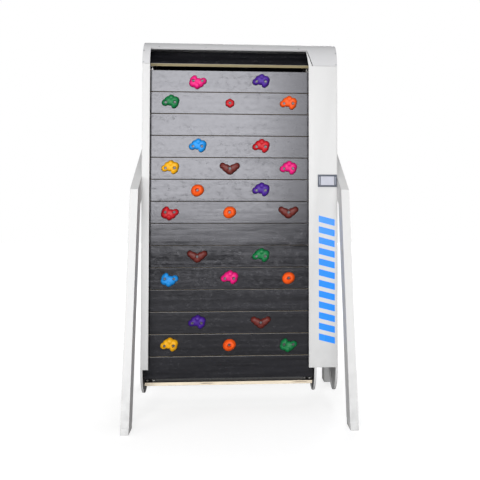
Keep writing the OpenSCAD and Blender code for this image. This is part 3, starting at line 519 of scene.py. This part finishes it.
bolt_tree, bolt_in, bolt_out = new_tree("socket_head_bolts", [
    ("Head radius", NUMBER), ("Head height", NUMBER), ("Dome", NUMBER), ("Socket radius", NUMBER),
    ("Washer radius", NUMBER), ("Washer thickness", NUMBER), ("Finish", "NodeSocketMaterial")])
head = put(bolt_tree, "GeometryNodeMeshCone", {
    "Vertices": 24, "Radius Top": calc(bolt_tree, "MULTIPLY", bolt_in["Head radius"], bolt_in["Dome"]),
    "Radius Bottom": bolt_in["Head radius"], "Depth": bolt_in["Head height"]})
socket_hole = put(bolt_tree, "GeometryNodeMeshCylinder", {
    "Vertices": 6, "Radius": bolt_in["Socket radius"], "Depth": bolt_in["Head height"]})
socket_hole = put(bolt_tree, "GeometryNodeTransform", {
    "Geometry": socket_hole.outputs["Mesh"],
    "Translation": put(bolt_tree, "ShaderNodeCombineXYZ", {"Z": bolt_in["Head height"]}).outputs[0]})
head = put(bolt_tree, "GeometryNodeMeshBoolean", {
    "Mesh 1": head.outputs["Mesh"], "Mesh 2": socket_hole.outputs[0]}, operation="DIFFERENCE")
washer = put(bolt_tree, "GeometryNodeMeshCylinder", {
    "Vertices": 24, "Radius": bolt_in["Washer radius"], "Depth": bolt_in["Washer thickness"]})
head = put(bolt_tree, "GeometryNodeTransform", {
    "Geometry": head.outputs["Mesh"],
    "Translation": put(bolt_tree, "ShaderNodeCombineXYZ", {"Z": bolt_in["Washer thickness"]}).outputs[0]})
washer = put(bolt_tree, "GeometryNodeTransform", {
    "Geometry": washer.outputs["Mesh"],
    "Translation": put(bolt_tree, "ShaderNodeCombineXYZ", {
        "Z": calc(bolt_tree, "MULTIPLY", bolt_in["Washer thickness"], 0.5)}).outputs[0]})
bolt_shape = put(bolt_tree, "GeometryNodeJoinGeometry")
bolt_tree.links.new(head.outputs[0], bolt_shape.inputs[0])
bolt_tree.links.new(washer.outputs[0], bolt_shape.inputs[0])
faces_out = put(bolt_tree, "GeometryNodeInputNamedAttribute", {"Name": "facing"}, data_type="FLOAT_VECTOR")
turned = put(bolt_tree, "FunctionNodeAlignRotationToVector", {"Vector": faces_out.outputs[0]}, axis="Z")
bolts = put(bolt_tree, "GeometryNodeInstanceOnPoints", {
    "Points": bolt_in["Geometry"], "Instance": bolt_shape.outputs[0], "Rotation": turned.outputs[0]})
bolt_tree.links.new(realized(bolt_tree, bolts.outputs[0], bolt_in["Finish"]), bolt_out.inputs[0])

edge_x = column_half - 0.008
screw_places = [(x, a) for x in (-edge_x, edge_x) for a in (7, 34, 62, 90, 118, 146, 173)]
lip_screw_start, lip_screw_pitch, lip_screw_in = 0.058, 0.341, 4
screw_places += [(lip_left + lip_screw_start + lip_screw_pitch * i, a) for i in range(4)
                 for a in (lip_angle + lip_screw_in, 180 - lip_screw_in - lip_angle)]
screws = []
for x, degrees in screw_places:
    out = Vector((0, -math.cos(math.radians(degrees)), math.sin(math.radians(degrees))))
    screws.append((Vector((x, 0, cap_z)) + out * (cap_r - 0.0002), out))
cap_screws = grown("cap_screws", facing_points("cap_screws", screws), bolt_tree, {
    "Head radius": 0.0048, "Head height": 0.0022, "Dome": 0.72, "Socket radius": 0.0022,
    "Washer radius": 0.0052, "Washer thickness": 0.0004}, zinc)
on_frame(cap_screws, "zinc_steel", "cover_screws")

arm_bolts = []
arm_bolt_y, arm_bolt_rise = 0.085, 0.03
for y in (-arm_bolt_y, arm_bolt_y):
    middle_z = knee_z + arm_rate * (y + knee_y) - arm_drop / 2
    for z in (middle_z - arm_bolt_rise, middle_z + arm_bolt_rise):
        for side in (-1, 1):
            arm_bolts.append((Vector((side * (column_half + stand_w), y, z)), Vector((side, 0, 0))))
arm_caps = grown("arm_bolt_heads", facing_points("arm_bolt_heads", arm_bolts), bolt_tree, {
    "Head radius": 0.0100, "Head height": 0.0022, "Dome": 0.80, "Socket radius": 0.0042,
    "Washer radius": 0.014, "Washer thickness": 0.0008}, zinc)
on_frame(arm_caps, "zinc_steel", "stand_bolts")
tie_x, tie_plate_y, tie_z, tie_bolt_rise = 0.6725, 0.2130, 0.420, 0.046
tie_bolts = [(Vector((x, tie_plate_y, tie_z + dz)), Vector((0, 1, 0)))
             for x in (-tie_x, tie_x) for dz in (-tie_bolt_rise, tie_bolt_rise)]
tie_heads = grown("tie_bolt_heads", facing_points("tie_bolt_heads", tie_bolts), bolt_tree, {
    "Head radius": 0.0080, "Head height": 0.0050, "Dome": 0.85, "Socket radius": 0.0042,
    "Washer radius": 0.0105, "Washer thickness": 0.0016}, zinc)
on_frame(tie_heads, "zinc_steel")

# ---------------------------------------------------------------- slats
# The climbing face: 25 mm plywood boards, 157 mm high on a 160 mm pitch, stained black and
# lacquered on both faces. Their sawn edges are left bare, so the veneers show there.
slat_finish, slat_tree, slat_shader = new_finish("black_stained_plywood")


def attribute(tree, name):
    return put(tree, "ShaderNodeAttribute", attribute_name=name)


board = attribute(slat_tree, "board_place").outputs["Vector"]
board_id = attribute(slat_tree, "board_number").outputs["Fac"]
bare = attribute(slat_tree, "sawn_edge").outputs["Fac"]
own = put(slat_tree, "ShaderNodeVectorMath", {
    0: board, 1: dimmed(slat_tree, (1.0, 7.0, 3.0), board_id)}, operation="ADD").outputs[0]
long_grain = noise(slat_tree, scaled(slat_tree, own, (1.6, 1, 34)), 1.0, 6.0, 0.62)
fine_grain = noise(slat_tree, scaled(slat_tree, own, (7, 1, 330)), 1.0, 3.0, 0.6)
waves = noise(slat_tree, scaled(slat_tree, own, (2.2, 1, 9)), 1.0, 2.0)
marks = noise(slat_tree, scaled(slat_tree, own, (26, 1, 44)), 1.0, 6.0, 0.74)
scuffed = ramp(slat_tree, marks, 0.47, 0.72)
nicks = ramp(slat_tree, noise(slat_tree, scaled(slat_tree, own, (55, 1, 110)), 1.0, 4.0, 0.7), 0.64, 0.74)
stain = mixed(slat_tree, ramp(slat_tree, long_grain, 0.35, 0.7),
              (0.003, 0.003, 0.004, 1), (0.013, 0.013, 0.016, 1))
stain = mixed(slat_tree, calc(slat_tree, "MULTIPLY", scuffed, 0.20), stain, (0.032, 0.031, 0.033, 1))
depth = put(slat_tree, "ShaderNodeSeparateXYZ", {0: board})
veneer = calc(slat_tree, "MULTIPLY", calc(slat_tree, "ADD", depth.outputs["Y"], 0.2), 1 / 0.0028)
veneer = put(slat_tree, "ShaderNodeMath", {0: veneer, 1: 1.0}, operation="PINGPONG").outputs[0]
wood = mixed(slat_tree, ramp(slat_tree, veneer, 0.35, 0.65), (0.90, 0.81, 0.66, 1), (0.76, 0.64, 0.47, 1))
wood = dimmed(slat_tree, wood, ramp(
    slat_tree, noise(slat_tree, scaled(slat_tree, own, (9, 300, 300)), 1.0, 4.0, 0.6), 0.3, 0.7, 0.82, 1.08))
knot = ramp(slat_tree, put(slat_tree, "ShaderNodeTexVoronoi", {
    "Vector": scaled(slat_tree, own, (2.2, 45, 45)), "Scale": 1.0}).outputs["Distance"], 0.10, 0.16, 1.0, 0.0)
wood = mixed(slat_tree, calc(slat_tree, "MULTIPLY", knot, 0.8), wood, (0.16, 0.08, 0.04, 1))
# Painted shade: each board's stored amount darkens its bare edges, fully on the two boards turning under the
# cap, by 0.6 on the runs, and not at all on the bottom board.
edge_shaded = attribute(slat_tree, "edge_shade").outputs["Fac"]
wood = mixed(slat_tree, edge_shaded, wood, put(slat_tree, "ShaderNodeVectorMath", {
    0: wood, 1: (0.37, 0.36, 0.26)}, operation="MULTIPLY").outputs[0])
slat_colour = mixed(slat_tree, bare, stain, wood)
lacquer = ramp(slat_tree, long_grain, 0.3, 0.7, 0.13, 0.23)
lacquer = calc(slat_tree, "ADD", lacquer, calc(slat_tree, "MULTIPLY", scuffed, 0.13))
lacquer = calc(slat_tree, "ADD", lacquer, calc(slat_tree, "MULTIPLY", nicks, 0.25))
lacquer = calc(slat_tree, "ADD", lacquer, calc(slat_tree, "MULTIPLY", bare, 0.35))
surface = calc(slat_tree, "ADD", waves, calc(slat_tree, "MULTIPLY", long_grain, 0.22))
surface = calc(slat_tree, "ADD", surface, calc(slat_tree, "MULTIPLY", fine_grain, 0.035))
surface = calc(slat_tree, "SUBTRACT", surface, calc(slat_tree, "MULTIPLY", nicks, 0.10))
relief = put(slat_tree, "ShaderNodeBump", {"Strength": 1.0, "Distance": 0.0009, "Height": surface})
slat_tree.links.new(slat_colour, slat_shader.inputs["Base Color"])
slat_tree.links.new(lacquer, slat_shader.inputs["Roughness"])
slat_tree.links.new(relief.outputs[0], slat_shader.inputs["Normal"])
slat_shader.inputs["Specular Tint"].default_value = (0.93, 0.93, 1.0, 1)

board_tree, board_in, board_out = new_tree("belt_boards", [
    ("Count", "NodeSocketInt"), ("Pitch", NUMBER), ("First height", NUMBER), ("First turn", NUMBER),
    ("Turn", NUMBER), ("Length", NUMBER), ("Height", NUMBER), ("Thickness", NUMBER), ("Corner", NUMBER),
    ("Left end", NUMBER), ("Middle", NUMBER), ("Edge shade", NUMBER), ("Seed", "NodeSocketInt"),
    ("Finish", "NodeSocketMaterial")])
section = put(board_tree, "GeometryNodeCurvePrimitiveQuadrilateral", {
    "Width": board_in["Thickness"], "Height": board_in["Height"]}, mode="RECTANGLE")
section = put(board_tree, "GeometryNodeFilletCurve", {
    "Curve": section.outputs[0], "Radius": board_in["Corner"], "Count": 3}, mode="POLY")
right_end = calc(board_tree, "ADD", board_in["Left end"], board_in["Length"])
rail = put(board_tree, "GeometryNodeCurvePrimitiveLine", {
    "Start": put(board_tree, "ShaderNodeCombineXYZ", {"X": board_in["Left end"]}).outputs[0],
    "End": put(board_tree, "ShaderNodeCombineXYZ", {"X": right_end}).outputs[0]})
blank = put(board_tree, "GeometryNodeCurveToMesh", {
    "Curve": rail.outputs[0], "Profile Curve": section.outputs[0], "Fill Caps": True})
where = put(board_tree, "GeometryNodeInputPosition").outputs[0]
blank = put(board_tree, "GeometryNodeStoreNamedAttribute", {
    "Geometry": blank.outputs[0], "Name": "board_place", "Value": where},
    data_type="FLOAT_VECTOR", domain="POINT")
normal = put(board_tree, "ShaderNodeSeparateXYZ", {0: put(board_tree, "GeometryNodeInputNormal").outputs[0]})
flat_face = calc(board_tree, "ABSOLUTE", normal.outputs["Y"])
blank = put(board_tree, "GeometryNodeStoreNamedAttribute", {
    "Geometry": blank.outputs[0], "Name": "sawn_edge",
    "Value": calc(board_tree, "LESS_THAN", flat_face, 0.6)}, data_type="FLOAT", domain="FACE")
blank = put(board_tree, "GeometryNodeTransform", {
    "Geometry": blank.outputs[0], "Translation": put(board_tree, "ShaderNodeCombineXYZ", {
        "Y": calc(board_tree, "MULTIPLY", board_in["Middle"], -1.0)}).outputs[0]})
row_line = put(board_tree, "GeometryNodeMeshLine", {
    "Count": board_in["Count"],
    "Start Location": put(board_tree, "ShaderNodeCombineXYZ", {"Z": board_in["First height"]}).outputs[0],
    "Offset": put(board_tree, "ShaderNodeCombineXYZ", {"Z": board_in["Pitch"]}).outputs[0]}, mode="OFFSET")
number = put(board_tree, "GeometryNodeInputIndex").outputs[0]
tilt = calc(board_tree, "ADD", calc(board_tree, "MULTIPLY", number, board_in["Turn"]), board_in["First turn"])
boards = put(board_tree, "GeometryNodeInstanceOnPoints", {
    "Points": row_line.outputs[0], "Instance": blank.outputs[0],
    "Rotation": put(board_tree, "FunctionNodeEulerToRotation", {
        0: put(board_tree, "ShaderNodeCombineXYZ", {"X": tilt}).outputs[0]}).outputs[0]})
pick = put(board_tree, "FunctionNodeRandomValue", {
    2: 0.0, 3: 40.0, "ID": number, "Seed": board_in["Seed"]}, data_type="FLOAT")
boards = put(board_tree, "GeometryNodeStoreNamedAttribute", {
    "Geometry": boards.outputs[0], "Name": "board_number", "Value": pick.outputs[1]},
    data_type="FLOAT", domain="INSTANCE")
boards = put(board_tree, "GeometryNodeStoreNamedAttribute", {
    "Geometry": boards.outputs[0], "Name": "edge_shade", "Value": board_in["Edge shade"]},
    data_type="FLOAT", domain="INSTANCE")
board_tree.links.new(realized(board_tree, boards.outputs[0], board_in["Finish"]), board_out.inputs[0])

belt_x, pitch, slat_face = -0.0775, 0.160, 0.14207
slat_len, slat_h, slat_t = 1.220, 0.157, 0.025
top_z, bottom_z = 2.453, bottom_axis_z
rows = 14
# The ninth value of each row is the painted shade on the bare edges.
for name, node, body, first_z, step, first_turn, turn, count, edge_shade_amount, seed in (
        ("front_boards", "front_slats", "front_run", top_z - pitch / 2, -pitch, 0, 0, rows, 0.6, 3),
        ("back_boards", "back_slats", "back_run", bottom_z, pitch, 180, 0, rows, 0.6, 17),
        ("top_boards", "top_slats", "top_wheel", top_z, 0, -45, -90, 2, 1.0, 29),
        ("bottom_board", "bottom_slat", "bottom_wheel", bottom_z, 0, 90, 0, 1, 0.0, 41)):
    boards = grown(name, bpy.data.meshes.new(name), board_tree, {
        "Count": count, "Pitch": step, "First height": first_z, "First turn": math.radians(first_turn),
        "Turn": math.radians(turn), "Length": slat_len, "Height": slat_h, "Thickness": slat_t,
        "Corner": 0.0022, "Left end": belt_x - slat_len / 2, "Middle": slat_face - slat_t / 2,
        "Edge shade": edge_shade_amount, "Seed": seed}, slat_finish, 12)
    on_frame(boards, "stained_plywood", node, body=body)

# ---------------------------------------------------------------- holds
# Climbing holds moulded in coloured polyester resin with a sandy skin: lobed ones on two bolts,
# and round, vee and small six-sided ones on one. Bolts sit in deep wells.
resin, resin_tree, resin_shader = new_finish("moulded_resin")
hold_colour = attribute(resin_tree, "hold_colour").outputs["Color"]
spot = put(resin_tree, "ShaderNodeTexCoord").outputs["Object"]
swirl = noise(resin_tree, spot, 26.0, 4.0, 0.6)
grit = noise(resin_tree, spot, 900.0, 2.0, 0.7)
rub = ramp(resin_tree, noise(resin_tree, spot, 70.0, 5.0, 0.7), 0.58, 0.72)
body_colour = dimmed(resin_tree, hold_colour, ramp(resin_tree, swirl, 0.3, 0.7, 0.86, 1.10))
body_colour = mixed(resin_tree, calc(resin_tree, "MULTIPLY", rub, 0.10), body_colour, (0.75, 0.73, 0.70, 1))
# Painted shade: the resin darkens to near black close to the board, a painted contact shadow round the base
# of each hold.
depth = calc(resin_tree, "ABSOLUTE", put(resin_tree, "ShaderNodeSeparateXYZ", {0: spot}).outputs["Y"])
body_colour = dimmed(resin_tree, body_colour, ramp(resin_tree, depth, 0.145, 0.158, 0.06, 1.0))
resin_tree.links.new(body_colour, resin_shader.inputs["Base Color"])
resin_tree.links.new(calc(resin_tree, "ADD", ramp(resin_tree, swirl, 0.3, 0.7, 0.40, 0.52),
                          calc(resin_tree, "MULTIPLY", rub, 0.15)), resin_shader.inputs["Roughness"])
relief = put(resin_tree, "ShaderNodeBump", {
    "Strength": 0.7, "Distance": 0.0004,
    "Height": calc(resin_tree, "ADD", grit, calc(resin_tree, "MULTIPLY", swirl, 2.0))})
resin_tree.links.new(relief.outputs[0], resin_shader.inputs["Normal"])
resin_shader.inputs["Specular IOR Level"].default_value = 0.32


def soft_max(values, softness):
    top = max(values)
    return top + softness * math.log(sum(math.exp((value - top) / softness) for value in values))


def moulded(bosses, centre, wells, seat):
    """Mesh of one hold, facing +Z: bosses (x, y, radius, height) melt together over a flat back."""
    spokes, shells = 80, 16
    bm = bmesh.new()
    rings = []
    for shell in range(shells + 1):
        share = 1 - (1 - shell / shells) ** 1.5
        ring = []
        for spoke in range(spokes if shell else 1):
            angle = 2 * math.pi * spoke / spokes
            dx, dy = math.cos(angle), math.sin(angle)
            exits = []
            for x, y, radius, _ in bosses:
                along = (x - centre[0]) * dx + (y - centre[1]) * dy
                across = (x - centre[0]) * dy - (y - centre[1]) * dx
                if abs(across) < radius:
                    exits.append(along + math.sqrt(radius ** 2 - across ** 2))
            reach = soft_max(exits, 3.0) * share
            x, y = centre[0] + reach * dx, centre[1] + reach * dy
            swell = soft_max([rise / (1 + (math.hypot(x - bx, y - by) / radius / 1.05) ** 5)
                              for bx, by, radius, rise in bosses], 3.0)
            z = swell * math.sqrt(max(0.0, 1 - share ** 5))
            ring.append(bm.verts.new((x / 1000, y / 1000, z / 1000)))
        rings.append(ring)
    for spoke in range(spokes):
        after = (spoke + 1) % spokes
        bm.faces.new((rings[0][0], rings[1][spoke], rings[1][after]))
        for inner, outer in zip(rings[1:], rings[2:]):
            bm.faces.new((inner[spoke], outer[spoke], outer[after], inner[after]))
    bm.faces.new(rings[-1][::-1])
    bmesh.ops.recalc_face_normals(bm, faces=bm.faces)
    solid = new_piece("hold_blank", bpy.data.meshes.new("hold_blank"))
    bm.to_mesh(solid.data)
    bm.free()
    cutter_bm = bmesh.new()
    profile = ((0.0105, seat), (0.0105, seat + 8), (0.012, seat + 13), (0.016, seat + 22), (0.020, seat + 32))
    for well_x, well_y in wells:
        circles = [[cutter_bm.verts.new((well_x / 1000 + r * math.cos(math.pi * i / 16),
                                         well_y / 1000 + r * math.sin(math.pi * i / 16), z / 1000))
                    for i in range(32)] for r, z in profile]
        cutter_bm.faces.new(circles[0][::-1])
        cutter_bm.faces.new(circles[-1])
        for low, high in zip(circles, circles[1:]):
            for i in range(32):
                j = (i + 1) % 32
                cutter_bm.faces.new((low[i], low[j], high[j], high[i]))
    bmesh.ops.recalc_face_normals(cutter_bm, faces=cutter_bm.faces)
    cutter = new_piece("well_cutter", bpy.data.meshes.new("well_cutter"))
    cutter_bm.to_mesh(cutter.data)
    cutter_bm.free()
    bore = solid.modifiers.new("wells", "BOOLEAN")
    bore.operation, bore.solver, bore.object = "DIFFERENCE", "EXACT", cutter
    bpy.context.view_layer.update()
    finished = bpy.data.meshes.new_from_object(solid.evaluated_get(bpy.context.evaluated_depsgraph_get()))
    bpy.data.objects.remove(solid)
    bpy.data.objects.remove(cutter)
    return finished


bolt_reach, bolt_seat, hex_seat = 32.5, 16, 10
hold_shapes = {
    "lobed": moulded([(-4, 10, 33, 28), (-16, 19, 28, 28), (6, 37, 23, 38), (-40, -1, 25, 31),
                      (35, 16, 30, 33), (32, -8, 27, 31), (24, -26, 18, 29)],
                     (4, 6), [(-bolt_reach, 0), (bolt_reach, 0)], bolt_seat),
    "round": moulded([(-7, -6, 40, 33), (9, 3, 39, 40), (-3, 4, 38, 36)], (0, 0), [(0, 0)], bolt_seat),
    "vee": moulded([(0, -12, 34, 27), (-28, 4, 29, 32), (28, 4, 29, 32), (-51, 20, 24, 33), (51, 20, 24, 33)],
                   (0, -2), [(0, 0)], bolt_seat),
    "hexagon": moulded([(0, 0, 30, 22), (0, 20, 14, 19), (0, -20, 14, 19), (18, 9, 14, 19), (-18, 9, 14, 19),
                        (18, -9, 14, 19), (-18, -9, 14, 19)], (0, 0), [(0, 0)], hex_seat),
}
PINK, PURPLE = (0.66, 0.004, 0.16), (0.050, 0.008, 0.23)
GREEN, RED = (0.001, 0.15, 0.040), (0.48, 0.005, 0.012)
ORANGE, BLUE = (0.80, 0.085, 0.003), (0.008, 0.24, 0.66)
YELLOW, BROWN = (0.74, 0.36, 0.001), (0.115, 0.014, 0.010)
hold_columns = (-0.432, -0.234, 0, 0.228, 0.430)
# Row from the top, column from the left, shape, colour, and whether it hangs upside down.
holds = [
    (1, 1, "lobed", PINK, 1), (1, 3, "lobed", PURPLE, 0),
    (2, 0, "lobed", GREEN, 0), (2, 2, "hexagon", RED, 0), (2, 4, "lobed", ORANGE, 0),
    (4, 1, "lobed", BLUE, 0), (4, 3, "lobed", RED, 0),
    (5, 0, "lobed", YELLOW, 0), (5, 2, "vee", BROWN, 0), (5, 4, "lobed", PINK, 0),
    (6, 1, "round", ORANGE, 0), (6, 3, "lobed", PURPLE, 0),
    (7, 0, "lobed", RED, 1), (7, 2, "round", ORANGE, 0), (7, 4, "vee", BROWN, 0),
    (9, 1, "vee", BROWN, 0), (9, 3, "lobed", GREEN, 0),
    (10, 0, "lobed", BLUE, 1), (10, 2, "lobed", PINK, 0), (10, 4, "round", ORANGE, 0),
    (12, 1, "lobed", PURPLE, 0), (12, 3, "vee", BROWN, 0),
    (13, 0, "lobed", YELLOW, 0), (13, 2, "round", ORANGE, 0), (13, 4, "lobed", GREEN, 1),
]


def hold_place(row, column, turned_over, front):
    """Matrix that puts a hold drawn facing +Z on its slat, at the front or at the back."""
    x = belt_x + hold_columns[column]
    z = top_z - pitch / 2 - (row - 1) * pitch if front else bottom_z + (row - 1) * pitch
    tip = math.radians(90 if front else -90)
    return (Matrix.Translation((x, -slat_face if front else slat_face, z))
            @ Matrix.Rotation(tip, 4, "X") @ Matrix.Rotation(math.pi * turned_over, 4, "Z"))


dull_zinc = wear("dull_zinc_plate", metal_skin, {
    "Colour": (0.13, 0.13, 0.14, 1), "Roughness": 0.45, "Stain": (0.06, 0.06, 0.06, 1), "Stained": 0.6},
    0.00003, metallic=1.0)
kinds = {"lobed_holds": (("lobed",), "green_hold"), "round_holds": (("round", "hexagon"), "orange_hold"),
         "vee_holds": (("vee",), "brown_hold")}
for run, front in (("front", True), ("back", False)):
    for group, (shapes, hold_slot) in kinds.items():
        bm = bmesh.new()
        tint = bm.loops.layers.float_color.new("hold_colour")
        for row, column, shape, colour, turned_over in holds:
            if shape in shapes:
                before = len(bm.verts), len(bm.faces)
                bm.from_mesh(hold_shapes[shape])
                bm.verts.ensure_lookup_table()
                bm.faces.ensure_lookup_table()
                bmesh.ops.transform(bm, matrix=hold_place(row, column, turned_over, front),
                                    verts=bm.verts[before[0]:])
                for face in bm.faces[before[1]:]:
                    for loop in face.loops:
                        loop[tint] = (*colour, 1)
        mesh = bpy.data.meshes.new(run + "_moulded_" + group)
        bm.to_mesh(mesh)
        bm.free()
        mesh.materials.append(resin)
        shade(mesh, 38)
        on_frame(new_piece(mesh.name, mesh), hold_slot, run + "_" + group, body=run + "_run")
    hold_bolts = []
    for row, column, shape, _, turned_over in holds:
        place = hold_place(row, column, turned_over, front)
        out = place.to_3x3() @ Vector((0, 0, 1))
        seat = hex_seat if shape == "hexagon" else bolt_seat
        for reach in (-bolt_reach, bolt_reach) if shape == "lobed" else (0,):
            hold_bolts.append((place @ Vector((reach / 1000, 0, seat / 1000)), out))
    heads_name = run + "_hold_bolt_heads"
    bolt_heads = grown(heads_name, facing_points(heads_name, hold_bolts), bolt_tree, {
        "Head radius": 0.0064, "Head height": 0.0085, "Dome": 0.90, "Socket radius": 0.0036,
        "Washer radius": 0.0088, "Washer thickness": 0.0018}, dull_zinc)
    on_frame(bolt_heads, "zinc_steel", run + "_hold_bolts", body=run + "_run")
for shape in hold_shapes.values():
    bpy.data.meshes.remove(shape)

# ---------------------------------------------------------------- touch panel
# A 140 x 90 mm control unit set into the drive cover: grey-blue moulded bezel, a pale
# lit screen behind glass, and a narrow key strip at each side of it.
bezel_plastic = wear("bezel_plastic", paint_skin,
                     {"Colour": (0.065, 0.075, 0.10, 1), "Roughness": 0.55, "Grime": 0.0}, 0.00005)
on_frame(dressed("touch_bezel", "touch_panel", bezel_plastic, 0.002, 3), "panel_plastic")
panel_low, panel_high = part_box("touch_panel")
panel_mid = (panel_low + panel_high) / 2
glass, glass_tree, glass_shader = new_finish("lit_screen")
spot = put(glass_tree, "ShaderNodeTexCoord").outputs["Object"]
haze = ramp(glass_tree, noise(glass_tree, spot, 12.0, 3.0), 0.3, 0.7, 0.92, 1.05)
glass_tree.links.new(dimmed(glass_tree, (0.33, 0.34, 0.40), haze), glass_shader.inputs["Base Color"])
glass_tree.links.new(dimmed(glass_tree, (0.33, 0.34, 0.40), haze), glass_shader.inputs["Emission Color"])
glass_tree.links.new(ramp(glass_tree, noise(glass_tree, spot, 60.0, 4.0), 0.3, 0.7, 0.08, 0.16),
                     glass_shader.inputs["Roughness"])
glass_shader.inputs["Emission Strength"].default_value = 0.12


def slab(bm, low, high):
    """Adds a block between two corners."""
    made = bmesh.ops.create_cube(bm, size=1.0)
    size = Vector(high) - Vector(low)
    bmesh.ops.transform(bm, verts=made["verts"], matrix=Matrix.Translation((Vector(low) + Vector(high)) / 2)
                        @ Matrix.Diagonal((*size, 1)))


screen_bm = bmesh.new()
front_y = panel_low.y
screen_half_w, screen_half_h = 0.0490, 0.0315
slab(screen_bm, (panel_mid.x - screen_half_w, front_y + 0.0006, panel_mid.z - screen_half_h),
     (panel_mid.x + screen_half_w, front_y + 0.0016, panel_mid.z + screen_half_h))
bevelled(screen_bm, 0.0004, 30, 1)
on_frame(made_from(screen_bm, "touch_screen", glass), "panel_plastic")
keys_bm = bmesh.new()
key_x, key_half_w, key_half_h = 0.0575, 0.0035, 0.0285
for side in (-1, 1):
    middle_x = panel_mid.x + side * key_x
    slab(keys_bm, (middle_x - key_half_w, front_y - 0.0001, panel_mid.z - key_half_h),
         (middle_x + key_half_w, front_y + 0.0010, panel_mid.z + key_half_h))
bevelled(keys_bm, 0.0003, 30, 1)
key_plastic = wear("key_plastic", paint_skin,
                   {"Colour": (0.20, 0.22, 0.27, 1), "Roughness": 0.4, "Grime": 0.0}, 0.00004)
on_frame(made_from(keys_bm, "touch_keys", key_plastic), "panel_plastic")

# ---------------------------------------------------------------- cover decoration
# A row of slanted blue stripes cut from glossy film runs down the front of the drive cover.
film_blue = wear("blue_film", paint_skin,
                 {"Colour": (0.012, 0.24, 0.86, 1), "Roughness": 0.26, "Grime": 0.0}, 0.00003)
stripe_tree, stripe_in, stripe_out = new_tree("stripe_row", [
    ("Count", "NodeSocketInt"), ("Pitch", NUMBER), ("Width", NUMBER), ("Height", NUMBER), ("Slant", NUMBER),
    ("Corner", NUMBER), ("Film", NUMBER), ("Finish", "NodeSocketMaterial")])
outline = put(stripe_tree, "GeometryNodeCurvePrimitiveQuadrilateral", {
    "Bottom Width": stripe_in["Height"], "Top Width": stripe_in["Height"], "Height": stripe_in["Width"],
    "Offset": stripe_in["Slant"]}, mode="TRAPEZOID")
outline = put(stripe_tree, "GeometryNodeFilletCurve", {
    "Curve": outline.outputs[0], "Radius": stripe_in["Corner"], "Count": 4}, mode="POLY")
stripe = put(stripe_tree, "GeometryNodeFillCurve", {0: outline.outputs[0]}, mode="NGONS")
stripe = put(stripe_tree, "GeometryNodeExtrudeMesh", {
    "Mesh": stripe.outputs[0], "Offset Scale": stripe_in["Film"]})
stripe = put(stripe_tree, "GeometryNodeTransform", {
    "Geometry": stripe.outputs[0], "Rotation": (math.radians(90), math.radians(90), 0)})
line = put(stripe_tree, "GeometryNodeMeshLine", {
    "Count": stripe_in["Count"],
    "Offset": put(stripe_tree, "ShaderNodeCombineXYZ", {
        "Z": calc(stripe_tree, "MULTIPLY", stripe_in["Pitch"], -1.0)}).outputs[0]}, mode="OFFSET")
stripes = put(stripe_tree, "GeometryNodeInstanceOnPoints", {
    "Points": line.outputs[0], "Instance": stripe.outputs[0]})
stripe_tree.links.new(realized(stripe_tree, stripes.outputs[0], stripe_in["Finish"]), stripe_out.inputs[0])
stripes = grown("cover_stripes", bpy.data.meshes.new("cover_stripes"), stripe_tree, {
    "Count": 12, "Pitch": 0.0775, "Width": 0.117, "Height": 0.047, "Slant": 0.030, "Corner": 0.003,
    "Film": 0.0002}, film_blue)
top_stripe = (0.6275, -0.2050, 1.367)
stripes.data.transform(Matrix.Translation(top_stripe))
on_frame(stripes, "panel_plastic")

# ---------------------------------------------------------------- inner works
# Everything behind the covers keeps its CAD shape and gets the finish of the real material:
# painted steel frame, zinc rails, oiled chain, machined shafts, cast grey motor, black plastic.
oiled = wear("oiled_chain_steel", metal_skin, {
    "Colour": (0.42, 0.41, 0.40, 1), "Roughness": 0.34, "Stain": (0.035, 0.028, 0.020, 1), "Stained": 0.9},
    0.00003, metallic=1.0)
machined = wear("machined_steel", metal_skin, {
    "Colour": (0.58, 0.58, 0.60, 1), "Roughness": 0.24, "Stain": (0.20, 0.16, 0.12, 1), "Stained": 0.4},
    0.00002, metallic=1.0)
cast_grey = wear("cast_grey_paint", paint_skin,
                 {"Colour": (0.13, 0.15, 0.17, 1), "Roughness": 0.5, "Grime": 0.8}, 0.0003)
black_plastic = wear("black_plastic", paint_skin,
                     {"Colour": (0.018, 0.018, 0.020, 1), "Roughness": 0.5, "Grime": 0.4}, 0.0001)
on_frame(dressed("mains_inlet", "power_inlet", black_plastic, 0.0006), "black_plastic")
finishes = {
    black_coat: ("cross_tubes", "drive_box_floor", "arm_struts", "motor_bracket"),
    zinc: ("left_guide_rails", "right_guide_rails", "bearing_bolts", "take_up_screws"),
    cast_grey: ("shaft_bearings", "gear_motor", "drive_controller"),
    black_plastic: ("motor_brake",),
    machined: ("top_shaft", "bottom_shaft"),
    oiled: ("top_sprockets", "bottom_sprockets", "drive_sprocket", "motor_sprocket", "drive_chain",
            "front_chains", "back_chains", "top_links", "bottom_links"),
}
for finish, nodes in finishes.items():
    for node in nodes:
        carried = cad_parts[node].data
        carried.materials.clear()
        carried.materials.append(finish)
